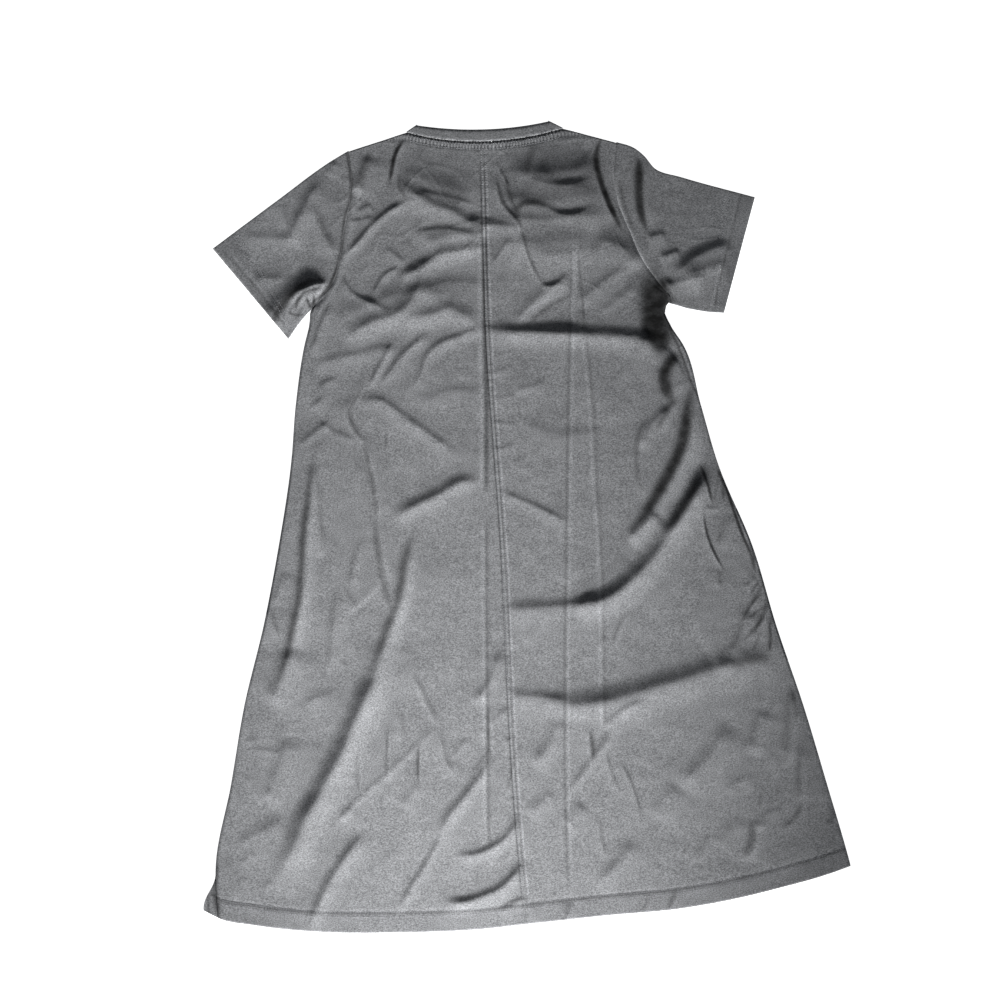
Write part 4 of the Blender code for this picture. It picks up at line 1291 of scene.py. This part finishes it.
def place_band(along, out):
    part, turn = ring_parts(along, BAND_COLUMNS, SCOOP_COLUMNS, BAND_TURN)
    side = edge_turn(part, turn)
    places = mix(back_strip(part, out), front_strip(part, out), turn / math.pi)
    fold = back_strip(part, np.ones(len(part))) - back_strip(part, np.zeros(len(part)))
    outwards = np.column_stack((fold[:, 1], -fold[:, 0])) / np.hypot(*fold.T)[:, None] * side[:, None]
    top = BACK_SKIN + relief(places) - BAND_FOLD * soft((out - 0.8) / 0.2)
    top = top - BAND_SEAM * (1 - soft(out / 0.12))
    reach = np.sin(turn) * BACK_SKIN / 2
    return np.column_stack((places + outwards * reach[:, None], fold_height(top, turn)))


around_neck = BAND_COLUMNS + SCOOP_COLUMNS + 2 * BAND_TURN
band = make_cloth("neckband_cloth", around_neck, BAND_ROWS, place_band, closed=True)
declare(band, "neckband")

# %% [markdown]
# ## The pocket bags
# A bag of the same jersey hangs in each side seam, between the two layers. The camera sees only
# its outline, pressed into the back. A copy of the solid would do as well, but as a sheet that is
# folded at its inner edge it stays as thin as cloth.

# %% Pocket bags
BAG_BOTTOM, BAG_TOP = 0.0010, 0.0026
FOLD_START, FOLD_END = 0.45, 0.55


def add_bag(side):
    rows = np.array(side.bag)
    width = smooth_curve(rows[:, 0], rows[:, 1])
    half = (BAG_TOP - BAG_BOTTOM) / 2

    def place(along, up):
        height = between(rows[0, 0], rows[-1, 0], up)
        part = np.interp(along, (0, FOLD_START, FOLD_END, 1), (0, 1, 1, 0))
        turn = np.interp(along, (FOLD_START, FOLD_END), (0, math.pi))
        reach = (width(height) - half) * part + half * np.sin(turn)
        level = BAG_BOTTOM + half * (1 + np.cos(turn))
        return np.column_stack((side.edge(height) - side.outward * reach, height, level))

    bag = make_cloth("pocket_lining_" + side.name, 60, 60, place)
    declare(bag, "pocket_bag_" + side.name)


add_bag(LEFT)
add_bag(RIGHT)

# %% [markdown]
# ## Stitches
# A twin needle leaves two rows of short stitches. A bump texture could hint at them, but real
# thread catches the low light. Each stitch is a small, stretched ball of thread that is half sunk
# into the cloth. There are hundreds, so each has only twenty faces.

# %% One row of stitches after another
STITCH_PITCH = 0.0032
STITCH_SIZE = Vector((0.00130, 0.00042, 0.00030))


def offset_path(path, away):
    """The path moved to its left."""
    run = np.gradient(path, axis=0)
    run /= np.hypot(*run.T)[:, None]
    return path + np.column_stack((-run[:, 1], run[:, 0])) * away


def add_stitches(name, rows, skin):
    """rows are paths over the cloth. skin(places) gives the height of the cloth's outer skin."""
    shape = bmesh.new()
    for row in rows:
        lengths = lengths_along(row)
        spots = np.arange(STITCH_PITCH / 2, lengths[-1], STITCH_PITCH)
        where = np.column_stack([np.interp(spots, lengths, row[:, axis]) for axis in (0, 1)])
        slopes = [np.gradient(row[:, axis], lengths) for axis in (0, 1)]
        run = np.column_stack([np.interp(spots, lengths, slope) for slope in slopes])
        for (x, y), (run_x, run_y), z in zip(where, run, skin(where)):
            turn = Matrix.Rotation(math.atan2(run_y, run_x), 4, "Z")
            matrix = Matrix.Translation((x, y, z)) @ turn @ Matrix.Diagonal((*STITCH_SIZE, 1))
            bmesh.ops.create_icosphere(shape, subdivisions=1, radius=1, matrix=matrix)
    mesh = bpy.data.meshes.new(name)
    shape.to_mesh(mesh)
    shape.free()
    mesh.polygons.foreach_set("use_smooth", [True] * len(mesh.polygons))
    mesh.materials.append(thread)
    stitches = bpy.data.objects.new(name, mesh)
    bpy.context.scene.collection.objects.link(stitches)
    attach(stitches, "root")
    print(name, "has", len(mesh.polygons), "faces")


print("stitches to a metre:", round(1 / STITCH_PITCH))

# %% [markdown]
# ## Where the stitches run
# The rows follow the centre seam, the hem, the neck and the cuffs, at the distances between a twin
# needle's points. They are drawn from the same cut lines as the cloth, and each stitch asks
# the cloth's own function for its height, so no row floats or sinks.

# %% Rows of stitches
SEAM_TWIN, HEM_TWIN = 0.0044, 0.005
NECK_ROWS = (-0.0035, -0.0095)
CUFF_POINTS = 80
ROW_STEP = 0.002

up_seam = np.arange(-0.468, 0.474, ROW_STEP)
middle = np.column_stack((seam_line(up_seam), up_seam))
seam_rows = [offset_path(middle, away) for away in (-SEAM_TWIN / 2, SEAM_TWIN / 2)]
add_stitches("seam_stitches", seam_rows, back_skin)

across = np.arange(-0.379, 0.398, ROW_STEP)
hem_row = np.column_stack((across, hem_line(across) + HEM_DEPTH))
add_stitches("hem_stitches", [hem_row, offset_path(hem_row, -HEM_TWIN)], back_skin)

below_band = back_neckline(np.linspace(0.03, 0.97, 90))
add_stitches("neck_stitches", [offset_path(below_band, away) for away in NECK_ROWS], back_skin)

for side, layer in ((LEFT, left_layer), (RIGHT, right_layer)):
    parts = np.linspace(0.01, 0.99, CUFF_POINTS)
    cuff = layer(np.full(CUFF_POINTS, 1 - CUFF_DEPTH / SLEEVE_LENGTH), parts)
    rows = [cuff, offset_path(cuff, HEM_TWIN * side.outward)]
    add_stitches("cuff_stitches_" + side.name, rows, sleeve_skin)
